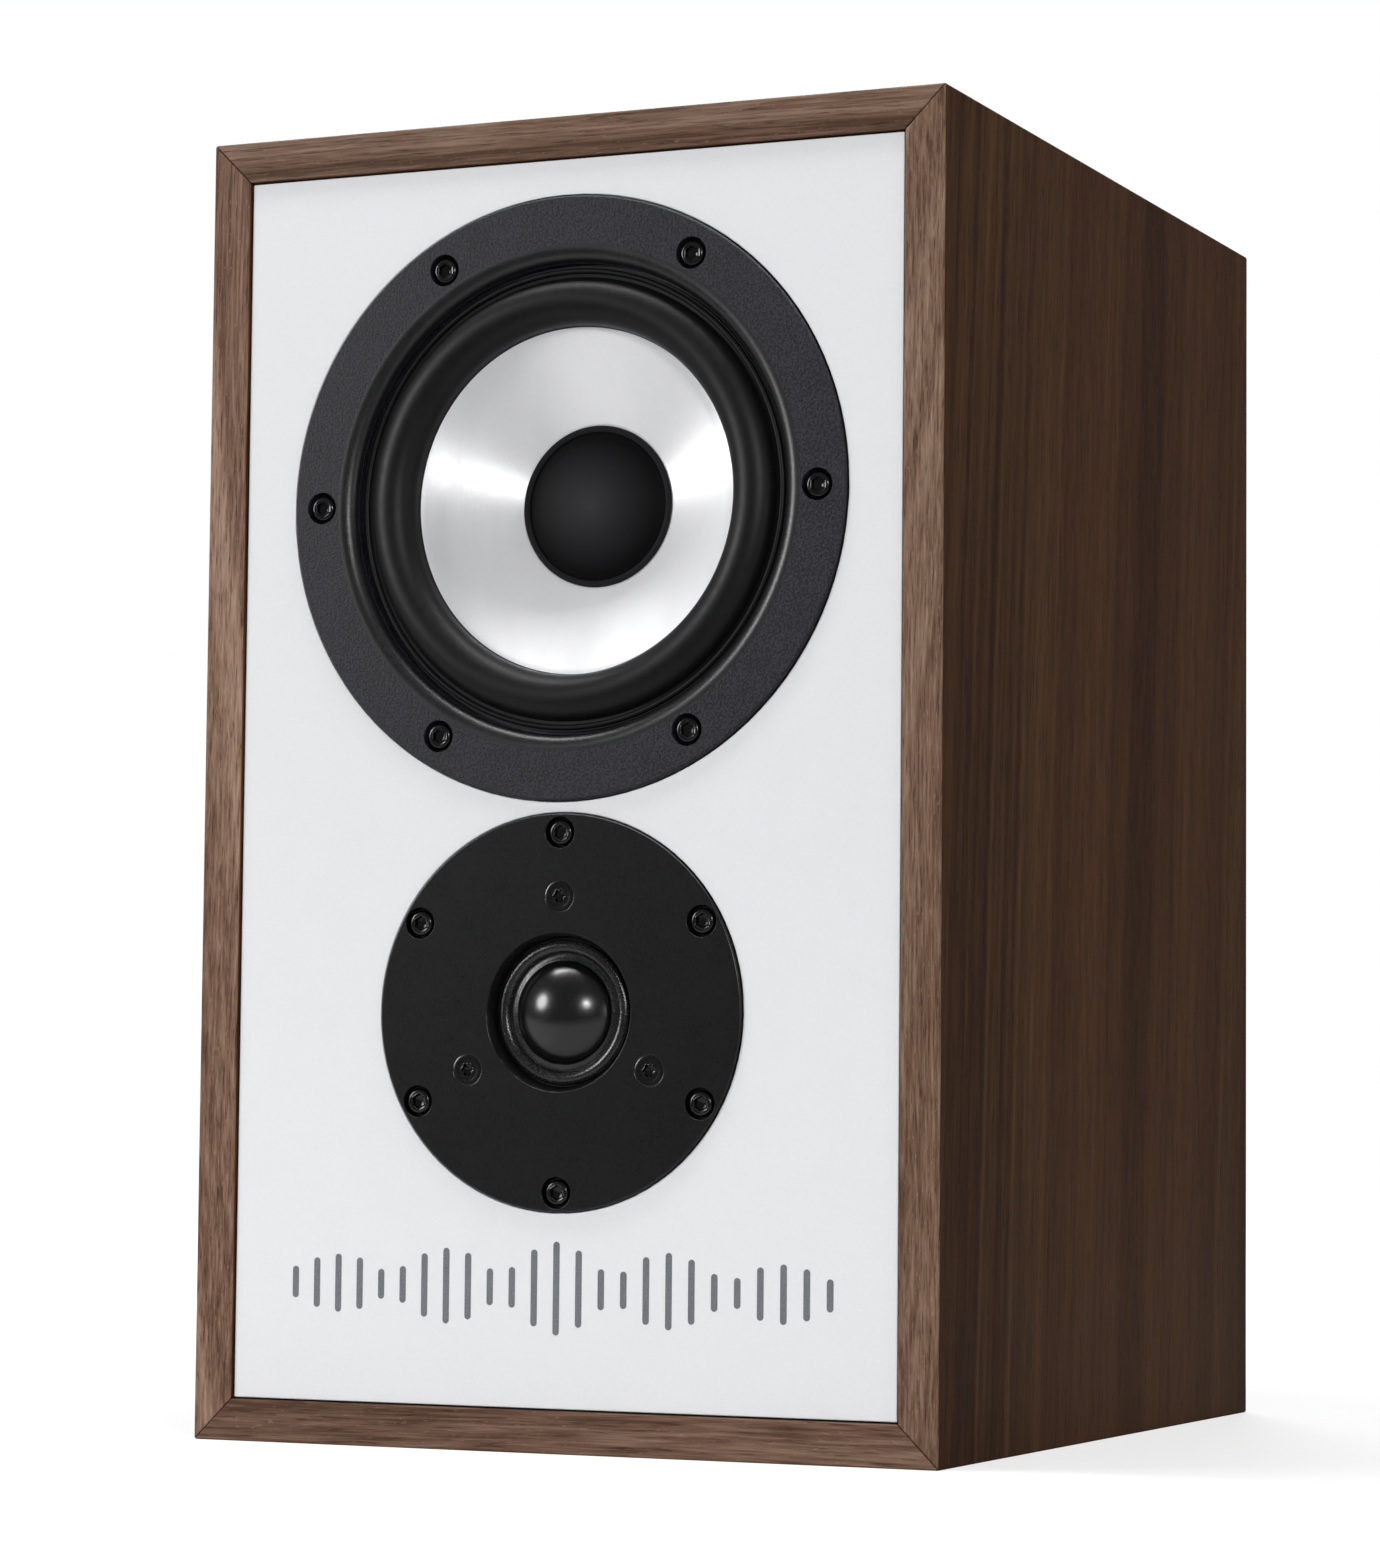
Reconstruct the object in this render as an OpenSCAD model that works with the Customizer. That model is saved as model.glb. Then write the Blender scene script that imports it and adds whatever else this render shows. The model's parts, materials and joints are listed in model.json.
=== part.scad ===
// Two-way bookshelf loudspeaker: a mitred walnut cabinet with a bass driver above a dome
// tweeter, and a reflex port and screw terminals at the back.
// X is width, Y is depth with the front towards -Y, Z is up.
// The origin is the centre of the underside.

/* [Cabinet] */
// Width of the cabinet
cab_w = 220; // [212:1:260]
// Height of the cabinet
cab_h = 362; // [356:1:420]
// Depth of the cabinet, front edge to rear edge
cab_d = 268; // [262:1:330]
// Thickness of the side, top and bottom walls
wall_t = 15; // [13:0.5:16]
// Width of the wall edge left showing around the front and rear panels
border_w = 11.5; // [9:0.5:12]
// How far the front and rear panels sit back from the wall edges
panel_recess = 1; // [0.5:0.5:1.5]
// Gap between a panel's edge and the walls around it
panel_gap = 0.4; // [0.2:0.1:0.8]
// Thickness of the front baffle
baffle_t = 18; // [17:1:22]
// Thickness of the rear panel
rear_t = 15; // [14:1:18]
// Thickness of the window brace
brace_t = 12; // [9:1:15]
// Thickness of the foam on the inside of the walls
foam_t = 12; // [8:1:20]

/* [Woofer] */
// Height of the woofer's centre above the underside
woofer_z = 257.4; // [255:0.1:262]
// Radius of the woofer's mounting flange
flange_r = 82.5; // [82:0.1:83]
// Thickness of the mounting flange
flange_t = 5; // [4.5:0.1:6]
// Radius of the circle of mounting screws
woofer_screw_circle = 74.2; // [74:0.1:75]
// Radius of the cone's outer edge
cone_r = 47.3; // [46.5:0.1:48]
// Depth of the cone's outer edge behind the front edge of the cabinet
cone_edge_depth = 8.2; // [8:0.1:9]
// Radius of the dust cap
cap_r = 22.35; // [21:0.05:23]
// Depth of the dust cap's rim
cap_depth = 22.1; // [20:0.1:23]
// Height of the dust cap's dome
cap_rise = 4.5; // [3:0.1:6]
// How far the voice coil reaches past the magnet's gap each way
coil_overhang = 4; // [3:0.5:4.5]

/* [Tweeter] */
// Height of the tweeter's centre above the underside
tweeter_z = 117.9; // [110:0.1:118]
// Radius of the tweeter's faceplate
faceplate_r = 53.6; // [53:0.1:54]
// Thickness of the faceplate at its edge
faceplate_t = 4; // [3.5:0.1:4.2]
// Radius of the circle of mounting screws
tweeter_screw_circle = 48.4; // [47:0.1:48.5]
// Radius of the circle of the three screws that hold the motor
motor_screw_circle = 31.2; // [30:0.1:32]
// Radius of the dome where it meets its surround
dome_r = 13.8; // [13.5:0.1:14]
// Height of the dome
dome_rise = 7.5; // [6:0.1:8]

/* [Port] */
// Height of the port's centre above the underside
port_z = 257; // [240:1:265]
// Inner radius of the port's throat
port_r = 25; // [20:1:27]
// Length of the port tube
port_length = 130; // [100:1:135]

/* [Terminals] */
// Height of the terminal plate's centre above the underside
terminal_z = 95; // [90:1:105]
// Width of the terminal plate
terminal_w = 104; // [96:1:120]
// Height of the terminal plate
terminal_h = 66; // [60:1:80]
// Distance between the two binding posts
post_spacing = 38; // [30:1:44]
// Radius of a post's threaded stud
stud_r = 3; // [3:0.1:3.4]
// Length of a stud outside its collar
stud_length = 22.5; // [20:0.5:26]
// Radius of the plug socket in a stud's end
socket_r = 2; // [2:0.05:2.1]
// Depth of the plug socket
socket_depth = 16; // [12:0.5:17]
// Radius of a terminal knob
knob_r = 7.5; // [7:0.1:9]

/* [Crossover] */
// Width of the crossover board
board_w = 132; // [126:1:150]
// Depth of the crossover board
board_d = 84; // [84:1:90]

/* [Hidden] */

$fn = 96;
eps = 1;                    // overshoot of a cutting solid past the face it cuts
running_gap = 0.06;         // radial clearance of a part that turns or slides on a stud
seat_gap = 0.05;            // clearance between faces of pieces that move apart

// Cabinet planes
front_y = -cab_d / 2;
rear_y = cab_d / 2;
baffle_y = front_y + panel_recess;
baffle_back_y = baffle_y + baffle_t;
rear_face_y = rear_y - panel_recess;
rear_inner_y = rear_face_y - rear_t;
panel_w = cab_w - 2 * border_w;
panel_h = cab_h - 2 * border_w;
inner_x = cab_w / 2 - wall_t;
brace_y = -12;
brace_rim = 20;
brace_bar_z = 186;

// Woofer: depths are measured back from the front edge of the cabinet
gasket_t = 1;
flange_recess_r = flange_r + 0.4;
woofer_hole_r = 69.3;
bead_out_r = 68.4;
bead_in_r = 64.3;
bead_round = 4.1;           // radius of the flange's rounded inner edge
bead_seat_depth = 3.2;
lip_r = 63.6;
lip_depth = 4.7;
rubber_t = 0.9;
roll_centre = [54.4, 6.4];
roll_r = 6.1;
roll_start = 15;            // angle above the horizontal where the roll leaves its lip
cone_t = 0.7;
cone_slope = (cap_depth - cone_edge_depth) / (cone_r - cap_r);
former_out_r = 16;
former_in_r = 15.6;
coil_out_r = 16.7;
pole_r = 15;
spider_depth = 34.6;
spider_r = 50;
spider_t = 0.6;
frame_floor = 46;           // front face of the frame's rear ring
frame_back = 49;
basket_bore_r = 60.4;       // opening behind the surround's seat
shoulder_r = 65;            // where the basket's conical wall starts inside
shoulder_depth = 8;
basket_out_r = 67.8;        // outside of the basket at that depth
ledge_in_r = 45.5;          // ledge that the spider is glued to
ledge_back = 37;
basket_waist_r = 53.2;      // outside of the basket behind the ledge
well_r = 48.8;              // space between the ledge and the rear ring
floor_bore_r = 18.2;        // opening in the rear ring around the voice coil
rear_ring_r = 52;
glue_gap = 0.05;            // glue line between pieces that flex and pieces that move
top_plate_r = 45;
top_plate_back = 55;
magnet_in_r = 26;
magnet_back = 71;
motor_back = 77;
coil_length = top_plate_back - frame_back + 2 * coil_overhang;
coil_centre = (frame_back + top_plate_back) / 2;
coil_end = coil_centre + coil_length / 2;
motor_bolt_circle = 36;
motor_bolt_r = 2;
spoke_half_angle = 10;
strip_depth = 24;           // depth of the woofer's terminal strip
strip_in_r = 52;
strip_length = 14;
tag_length = 8;

// Tweeter, with depths measured the same way
tweeter_recess_r = faceplate_r + 0.3;
tweeter_hole_r = 37;
throat_r = 20;
throat_depth = 3.5;
mouth_r = 21.5;
clamp_depth = 4.4;
cloth_t = 0.4;
clamp_r = 23.3;
hub_r = 36;
tweeter_plate_front = 6.8;
tweeter_plate_back = 10.8;
tweeter_magnet_in_r = 20;
tweeter_magnet_back = 22.8;
tweeter_motor_back = 27.8;
tweeter_pole_r = 12.8;
tweeter_vent_r = 4;
dome_depth = 4.6;
dome_t = 0.35;
dome_sphere_r = (dome_r * dome_r + dome_rise * dome_rise) / (2 * dome_rise);
bobbin_in_r = 13.3;
bobbin_out_r = 13.6;
bobbin_end = 11;
tweeter_coil_r = 14;
small_roll_r = 2;
small_roll_centre = 17.6;
tab_r = 29;                 // distance of the tweeter's tabs from its axis
tab_block_t = 5;
tab_length = 7;

// Screws: head radius, head height, shank radius, length overall
woofer_screw = [3.5, 2.8, 2, 17];
tweeter_screw = [3.45, 2.5, 1.9, 16];
plate_screw = [3.4, 2, 1.6, 14];
screw_sink = 0.3;           // how far a head's top lies below the face around it
counterbore_r = 4.4;
motor_screw_head_r = 4.25;
motor_screw_shank_r = 1.9;
pilot_gap = 0.05;

// Port
port_wall = 2.5;
mouth_flare = 12;
mouth_flare_depth = 24;
inner_flare = 6;
inner_flare_depth = 14;
port_flange_r = port_r + mouth_flare + 7;
port_flange_t = 3.5;
port_proud = 1.5;

// Terminals: the plate, its gasket and the posts stand on the rear panel's face
plate_t = 3;
plate_y = rear_face_y + gasket_t;
plate_out_y = plate_y + plate_t;
plate_screw_x = terminal_w / 2 - 9;
plate_screw_z = terminal_h / 2 - 8;
window_w = post_spacing + 30;
window_h = 36;
insulator_r = 8;
insulator_t = 3;
neck_r = 4;                 // radius of the insulator's sleeve through the plate
collar_r = 6;
collar_t = 1.5;
shank_r = 2;
shank_in = 20;              // length of a post's shank behind the plate
nut_r = 4.6;
nut_t = 3;
post_washer_t = 1.5;
stud_y = plate_out_y + insulator_t + collar_t;
knob_washer_r = 6.2;
knob_washer_t = 1.5;
knob_length = stud_length - knob_washer_t - 1;
flutes = 20;
flute_r = 0.9;
wire_hole_r = 1.5;

// Crossover, which stands on the bottom panel
standoff_h = 8;
standoff_r = 3.5;
board_screw_r = 1.6;
board_t = 1.6;
board_y = 62;
board_top = wall_t + standoff_h + board_t;
standoff_x = board_w / 2 - 7;
standoff_y = board_d / 2 - 7;

// Wiring
strip_y = front_y + strip_depth;
tag_z = woofer_z - strip_in_r - strip_length - tag_length;
tab_z = tweeter_z - tab_r;
tab_y = front_y + tweeter_motor_back + tab_block_t + tab_length;
lead_r = 1.1;
tinsel_r = 0.5;
lead_steps = 5;
tube_sides = 8;
// Each route ends square to the face that it is soldered to
terminal_route = [
    [post_spacing / 2, plate_y - shank_in, terminal_z],
    [post_spacing / 2, plate_y - shank_in - 3, terminal_z],
    [18, 107, 82], [15, 104, 60], [12, 101, 40], [12, 100, board_top + 4], [12, 100, board_top]
];
woofer_route = [
    [48, 26, board_top], [48, 26, board_top + 4], [47, 16, 46], [43, -4, 66], [36, -26, 98],
    [27, -52, 138], [17, -78, 164], [9, -98, 174], [6, -109, 178.5], [6, strip_y, tag_z]
];
tweeter_route = [
    [-48, 24, board_top], [-48, 24, board_top + 4], [-46, 14, 38], [-38, -6, 45],
    [-26, -36, 56], [-14, -64, 72], [-6, -84, 86], [-5, tab_y + 3, tab_z], [-5, tab_y, tab_z]
];

function cone_depth(r) = cone_edge_depth + (cone_r - r) * cone_slope;
function unit(v) = v / norm(v);
function arc(centre, r, from, to, steps) = [
    for (i = [0 : steps])
        let (a = from + (to - from) * i / steps)
        [centre[0] + r * cos(a), centre[1] - r * sin(a)]
];
function reverse(list) = [for (i = [len(list) - 1 : -1 : 0]) list[i]];
function spline(a, b, c, d, t) = 0.5 * (2 * b + (c - a) * t
    + (2 * a - 5 * b + 4 * c - d) * t * t + (3 * b - a - 3 * c + d) * t * t * t);
function smooth(p, steps) = concat([
    for (i = [0 : len(p) - 2])
        for (k = [0 : steps - 1])
            spline(p[max(i - 1, 0)], p[i], p[i + 1], p[min(i + 2, len(p) - 1)], k / steps)
], [p[len(p) - 1]]);

// A ring or disc about the local Z axis, from depth z0 to depth z1
module ring(r_out, r_in, z0, z1) {
    difference() {
        translate([0, 0, z0]) cylinder(r = r_out, h = z1 - z0);
        translate([0, 0, z0 - eps]) cylinder(r = r_in, h = z1 - z0 + 2 * eps);
    }
}

module disc(r, z0, z1) {
    translate([0, 0, z0]) cylinder(r = r, h = z1 - z0);
}

// Places a driver's local frame: local Z runs back into the cabinet from its front edge
module driver(z) {
    translate([0, front_y, z]) rotate([-90, 0, 0]) children();
}

// Repeats a child on a circle; the angle runs from +X up towards +Z on a driver's face
module around(count, r, first = 0) {
    for (i = [0 : count - 1])
        rotate([0, 0, -(first + i * 360 / count)]) translate([r, 0, 0]) children();
}

// A cap screw with its head's top at local Z = 0 and a hexagonal socket
module cap_screw(size) {
    chamfer = 0.5;
    difference() {
        union() {
            cylinder(r1 = size[0] - chamfer, r2 = size[0], h = chamfer);
            disc(size[0], chamfer, size[1]);
            disc(size[2], size[1], size[3]);
        }
        translate([0, 0, -eps]) cylinder(r = 0.5 * size[0], h = eps + 0.7 * size[1], $fn = 6);
    }
}

// A countersunk screw with a six-pointed socket
module countersunk_screw(head_r, shank_r, length) {
    cone_h = head_r - shank_r;
    difference() {
        union() {
            cylinder(r1 = head_r, r2 = shank_r, h = cone_h);
            disc(shank_r, cone_h, length);
        }
        for (turn = [0, 60])
            rotate([0, 0, turn])
                translate([0, 0, -eps]) cylinder(r = 0.5 * head_r, h = eps + 0.5 * cone_h, $fn = 3);
    }
}

// A round wire along a smooth route
module wire(route, r) {
    path = smooth(route, lead_steps);
    last = len(path) - 1;
    side = unit([1, 0.2, 0.1]);
    rings = [
        for (i = [0 : last])
            let (
                along = unit(path[min(i + 1, last)] - path[max(i - 1, 0)]),
                u = unit(cross(along, side)),
                v = cross(along, u)
            )
            for (k = [0 : tube_sides - 1])
                path[i] + r * (cos(k * 360 / tube_sides) * u + sin(k * 360 / tube_sides) * v)
    ];
    walls = [
        for (i = [0 : last - 1], k = [0 : tube_sides - 1])
            let (a = i * tube_sides, n = (k + 1) % tube_sides)
            [a + k, a + n, a + tube_sides + n, a + tube_sides + k]
    ];
    caps = [
        [for (k = [tube_sides - 1 : -1 : 0]) k],
        [for (k = [0 : tube_sides - 1]) last * tube_sides + k]
    ];
    polyhedron(points = rings, faces = concat(walls, caps), convexity = 6);
}

// The same wire twice: once on its route and once with its X coordinates shifted
module wire_pair(route, r, shift) {
    wire(route, r);
    translate([shift, 0, 0]) wire(route, r);
}

// ---- Cabinet ----

// One mitred wall, given by its section in the XZ plane, rebated for both panels
module wall(section) {
    color("#5d3d28")
    difference() {
        translate([0, rear_y, 0]) rotate([90, 0, 0]) linear_extrude(cab_d) polygon(section);
        translate([-panel_w / 2, front_y - eps, border_w])
            cube([panel_w, panel_recess + baffle_t + eps, panel_h]);
        translate([-panel_w / 2, rear_inner_y, border_w])
            cube([panel_w, panel_recess + rear_t + eps, panel_h]);
    }
}

module left_side_panel() {
    wall([[-cab_w / 2, 0], [-inner_x, wall_t], [-inner_x, cab_h - wall_t], [-cab_w / 2, cab_h]]);
}

module right_side_panel() {
    wall([[cab_w / 2, 0], [cab_w / 2, cab_h], [inner_x, cab_h - wall_t], [inner_x, wall_t]]);
}

module top_panel() {
    wall([[-cab_w / 2, cab_h], [-inner_x, cab_h - wall_t], [inner_x, cab_h - wall_t],
        [cab_w / 2, cab_h]]);
}

module bottom_panel() {
    wall([[-cab_w / 2, 0], [cab_w / 2, 0], [inner_x, wall_t], [-inner_x, wall_t]]);
}

// A flat board filling the opening of the rebated walls, leaving the gap all round
module inset_board(y, t) {
    translate([-panel_w / 2 + panel_gap, y, border_w + panel_gap])
        cube([panel_w - 2 * panel_gap, t, panel_h - 2 * panel_gap]);
}

module front_baffle() {
    through = panel_recess + baffle_t + eps;
    color("#e4e3e0")
    difference() {
        inset_board(baffle_y, baffle_t);
        driver(woofer_z) {
            disc(flange_recess_r, 0, flange_t + gasket_t);
            disc(woofer_hole_r, 0, through);
            around(6, woofer_screw_circle) disc(woofer_screw[2] + pilot_gap, 0, through);
        }
        driver(tweeter_z) {
            disc(tweeter_recess_r, 0, faceplate_t + gasket_t);
            disc(tweeter_hole_r, 0, through);
            around(6, tweeter_screw_circle, 30)
                disc(tweeter_screw[2] + pilot_gap, 0, through);
        }
    }
}

module rear_panel() {
    color("#26241f")
    difference() {
        inset_board(rear_inner_y, rear_t);
        translate([0, rear_face_y, port_z]) rotate([-90, 0, 0]) {
            disc(port_r + mouth_flare + port_wall + 0.5, -rear_t - eps, eps);
            disc(port_flange_r + 0.3, -(port_flange_t - port_proud), eps);
        }
        translate([-window_w / 2, rear_inner_y - eps, terminal_z - window_h / 2])
            cube([window_w, rear_t + 2 * eps, window_h]);
        for (x = [-1, 1], z = [-1, 1])
            translate([x * plate_screw_x, rear_face_y, terminal_z + z * plate_screw_z])
                rotate([-90, 0, 0]) disc(plate_screw[2] + pilot_gap, -rear_t - eps, eps);
    }
}

// A frame across the cabinet with one window above its bar and one below
module window_brace() {
    window_half = inner_x - brace_rim;
    lower = [wall_t + brace_rim, brace_bar_z - brace_rim / 2];
    upper = [brace_bar_z + brace_rim / 2, cab_h - wall_t - brace_rim];
    color("#c9a777")
    difference() {
        translate([-inner_x, brace_y, wall_t]) cube([2 * inner_x, brace_t, cab_h - 2 * wall_t]);
        for (span = [lower, upper])
            translate([-window_half, brace_y - eps, span[0]])
                cube([2 * window_half, brace_t + 2 * eps, span[1] - span[0]]);
    }
}

module foam_sheet(x) {
    end_gap = 8;
    bottom = 70;
    top = cab_h - 30;
    start_y = brace_y + brace_t + end_gap;
    color("#3b3b3d")
        translate([x, start_y, bottom])
            cube([foam_t, rear_inner_y - end_gap - start_y, top - bottom]);
}

module left_foam() {
    foam_sheet(-inner_x);
}

module right_foam() {
    foam_sheet(inner_x - foam_t);
}

// ---- Woofer ----

module woofer_frame() {
    edge = 0.5;
    profile = [
        [flange_r, edge], [flange_r - edge, 0], [bead_out_r + 0.2, 0],
        [bead_out_r + 0.2, bead_seat_depth], [bead_in_r, bead_seat_depth],
        [bead_in_r, lip_depth + rubber_t], [basket_bore_r, lip_depth + rubber_t],
        [basket_bore_r, shoulder_depth], [shoulder_r, shoulder_depth],
        [spider_r + 0.3, spider_depth], [ledge_in_r, spider_depth], [ledge_in_r, ledge_back],
        [well_r, ledge_back + 1], [well_r, frame_floor], [floor_bore_r, frame_floor],
        [floor_bore_r, frame_back], [rear_ring_r, frame_back], [basket_waist_r, ledge_back],
        [basket_out_r, shoulder_depth], [basket_out_r + 0.2, flange_t], [flange_r, flange_t]
    ];
    window_front = 11;
    window_length = 20;
    window_in = 40;
    window_out = 75;
    window_slope = tan(30 - spoke_half_angle);
    strip_slot = [20.2, 20, 4.2];
    color("#46474a")
    driver(woofer_z) difference() {
        rotate_extrude() polygon(profile);
        around(6, woofer_screw_circle) {
            disc(counterbore_r, -eps, woofer_screw[1] + screw_sink);
            disc(woofer_screw[2] + 0.3, -eps, flange_t + eps);
        }
        around(6, 0)
            translate([0, 0, window_front]) linear_extrude(window_length) polygon([
                [window_in, window_in * window_slope], [window_in, -window_in * window_slope],
                [window_out, -window_out * window_slope], [window_out, window_out * window_slope]
            ]);
        around(6, motor_bolt_circle, 30)
            disc(motor_bolt_r + 0.2, frame_floor - eps, frame_back + eps);
        translate([-strip_slot[0] / 2, strip_in_r, strip_depth - strip_slot[2] / 2])
            cube(strip_slot);
    }
}

module woofer_gasket() {
    color("#1c1c1e")
    driver(woofer_z) difference() {
        ring(flange_r - 0.5, woofer_hole_r + 0.4, flange_t, flange_t + gasket_t);
        around(6, woofer_screw_circle) disc(woofer_screw[2] + 0.2, 0, flange_t + 2 * eps);
    }
}

// The rounded inner edge that leads from the flange down to the surround
module woofer_trim_ring() {
    steps = 16;
    last_turn = acos(1 - bead_seat_depth / bead_round);
    rounding = [
        for (i = [0 : steps]) let (turn = last_turn * i / steps)
            [bead_out_r - bead_round * sin(turn), bead_round * (1 - cos(turn))]
    ];
    color("#55565a")
    driver(woofer_z) rotate_extrude()
        polygon(concat([[bead_out_r, bead_seat_depth]], rounding));
}

// A half-roll rubber surround with a lip outside and a skirt behind the cone's edge
module woofer_surround() {
    front_r = roll_r + rubber_t / 2;
    back_r = roll_r - rubber_t / 2;
    front_in = roll_centre[0] - front_r;
    back_in = roll_centre[0] - back_r;
    skirt_r = 43.5;
    front_side = concat(
        [[lip_r, lip_depth]], arc(roll_centre, front_r, roll_start, 180, 22),
        [[front_in, cone_depth(front_in) + cone_t + glue_gap],
            [skirt_r, cone_depth(skirt_r) + cone_t + glue_gap]]
    );
    back_side = concat(
        [[skirt_r, cone_depth(skirt_r) + cone_t + glue_gap + rubber_t],
            [back_in, cone_depth(back_in) + cone_t + glue_gap + rubber_t]],
        arc(roll_centre, back_r, 180, roll_start, 22),
        [[basket_bore_r - 0.1, lip_depth + rubber_t], [lip_r, lip_depth + rubber_t]]
    );
    color("#232325")
    driver(woofer_z) rotate_extrude() polygon(concat(front_side, back_side));
}

module woofer_cone() {
    color("#c9cacc")
    driver(woofer_z) rotate_extrude() polygon([
        [cone_r, cone_edge_depth], [former_out_r, cone_depth(former_out_r)],
        [former_out_r, cone_depth(former_out_r) + cone_t], [cone_r, cone_edge_depth + cone_t]
    ]);
}

// A domed cap with a flat rim, seated on the cone
module woofer_dust_cap() {
    rim_in = cap_r - 1.6;
    rim_t = 0.7;
    dome_edge = rim_in - 0.4;
    seat_r = rim_in + 0.2;
    curve_r = (dome_edge * dome_edge + cap_rise * cap_rise) / (2 * cap_rise);
    base = cap_depth - 0.1;
    crown = [
        for (i = [0 : 12])
            let (r = dome_edge * (1 - i / 12))
            [r, base - cap_rise + curve_r - sqrt(curve_r * curve_r - r * r)]
    ];
    underside = [for (p = reverse(crown)) [p[0], p[1] + rim_t]];
    color("#1f1f21")
    driver(woofer_z) rotate_extrude() polygon(concat(
        [[cap_r, cap_depth], [cap_r, cap_depth - rim_t], [rim_in, cap_depth - rim_t]], crown,
        underside, [[seat_r, cone_depth(seat_r)]]
    ));
}

module woofer_former() {
    color("#8a6a3a")
    driver(woofer_z) ring(former_out_r, former_in_r, cone_depth(former_out_r) - 1.2, coil_end);
}

module woofer_voice_coil() {
    color("#b4612d")
    driver(woofer_z) ring(coil_out_r, former_out_r, coil_end - coil_length, coil_end);
}

// A corrugated disc that centres the voice coil
module woofer_spider() {
    wave_in = 20;
    wave_out = 44;
    waves = 4;
    points = 32;
    rise = 1.5;
    front = [
        for (i = [0 : points])
            [wave_in + (wave_out - wave_in) * i / points,
                spider_depth - spider_t - rise * sin(i / points * waves * 360)]
    ];
    back = [for (p = reverse(front)) [p[0], p[1] + spider_t]];
    color("#b98f4a")
    driver(woofer_z) rotate_extrude() polygon(concat(
        [[former_out_r, spider_depth - spider_t]], front,
        [[spider_r, spider_depth - spider_t], [spider_r, spider_depth]], back,
        [[former_out_r, spider_depth]]
    ));
}

module woofer_top_plate() {
    color("#3a3b3d")
    driver(woofer_z) difference() {
        ring(top_plate_r, coil_out_r + 0.6, frame_back, top_plate_back);
        around(6, motor_bolt_circle, 30)
            disc(motor_bolt_r + pilot_gap, frame_back - eps, top_plate_back + eps);
    }
}

module woofer_magnet() {
    color("#2b2b2d")
    driver(woofer_z) ring(top_plate_r, magnet_in_r, top_plate_back, magnet_back);
}

module woofer_pole_piece() {
    color("#3a3b3d")
    driver(woofer_z) {
        disc(top_plate_r - 2, magnet_back, motor_back);
        disc(pole_r, frame_back, magnet_back);
    }
}

module woofer_motor_screws() {
    bolt = [3.2, 2.6, motor_bolt_r, 11];
    color("#77787a")
    driver(woofer_z) around(6, motor_bolt_circle, 30)
        translate([0, 0, frame_floor - bolt[1]]) cap_screw(bolt);
}

// An insulating strip through the frame's lowest spoke, with a pair of solder tags
module woofer_terminals() {
    color("#7a5a34")
    driver(woofer_z) {
        translate([-10, strip_in_r, strip_depth - 2]) cube([20, strip_length, 4]);
        for (x = [-6, 6])
            translate([x - 2.4, strip_in_r + strip_length, strip_depth - 0.4])
                cube([4.8, tag_length, 0.8]);
    }
}

// Flexible leads from the back of the cone to the terminal strip
module woofer_tinsel_leads() {
    start_r = 27;
    start_depth = cone_depth(start_r) + cone_t + 0.9;
    color("#a8703a")
    driver(woofer_z) wire_pair([
        [-6, start_r, start_depth], [-6, 31, start_depth + 4], [-6, 37, 28.5],
        [-6, 43, 27.5], [-6, 47, 25.5], [-6, strip_in_r - 2, strip_depth],
        [-6, strip_in_r - 1, strip_depth], [-6, strip_in_r, strip_depth]
    ], tinsel_r, 12);
}

module woofer_screws() {
    color("#161616")
    driver(woofer_z) around(6, woofer_screw_circle)
        translate([0, 0, screw_sink]) cap_screw(woofer_screw);
}

// ---- Tweeter ----

module tweeter_faceplate() {
    edge = 0.4;
    profile = [
        [faceplate_r, edge], [faceplate_r - edge, 0], [mouth_r, 0], [throat_r, throat_depth],
        [throat_r, clamp_depth], [clamp_r, clamp_depth], [clamp_r, tweeter_plate_front],
        [hub_r, tweeter_plate_front], [hub_r, faceplate_t], [faceplate_r, faceplate_t]
    ];
    sink = motor_screw_head_r + 0.1;
    color("#242426")
    driver(tweeter_z) difference() {
        rotate_extrude() polygon(profile);
        around(6, tweeter_screw_circle, 30) {
            disc(counterbore_r - 0.1, -eps, tweeter_screw[1] + screw_sink);
            disc(tweeter_screw[2] + 0.3, -eps, faceplate_t + eps);
        }
        around(3, motor_screw_circle, 90) {
            cylinder(r1 = sink, r2 = motor_screw_shank_r + 0.1,
                h = sink - motor_screw_shank_r - 0.1);
            disc(motor_screw_shank_r + 0.1, -eps, tweeter_plate_front + eps);
        }
    }
}

module tweeter_gasket() {
    color("#1c1c1e")
    driver(tweeter_z) difference() {
        ring(faceplate_r - 0.5, hub_r + 2, faceplate_t, faceplate_t + gasket_t);
        around(6, tweeter_screw_circle, 30)
            disc(tweeter_screw[2] + 0.2, 0, faceplate_t + 2 * eps);
    }
}

module tweeter_dome() {
    color("#17171a")
    driver(tweeter_z) difference() {
        translate([0, 0, dome_depth - dome_rise + dome_sphere_r]) sphere(r = dome_sphere_r);
        translate([0, 0, dome_depth - dome_rise + dome_sphere_r])
            sphere(r = dome_sphere_r - dome_t);
        disc(2 * dome_sphere_r, dome_depth, dome_depth + 2 * dome_sphere_r);
    }
}

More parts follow.
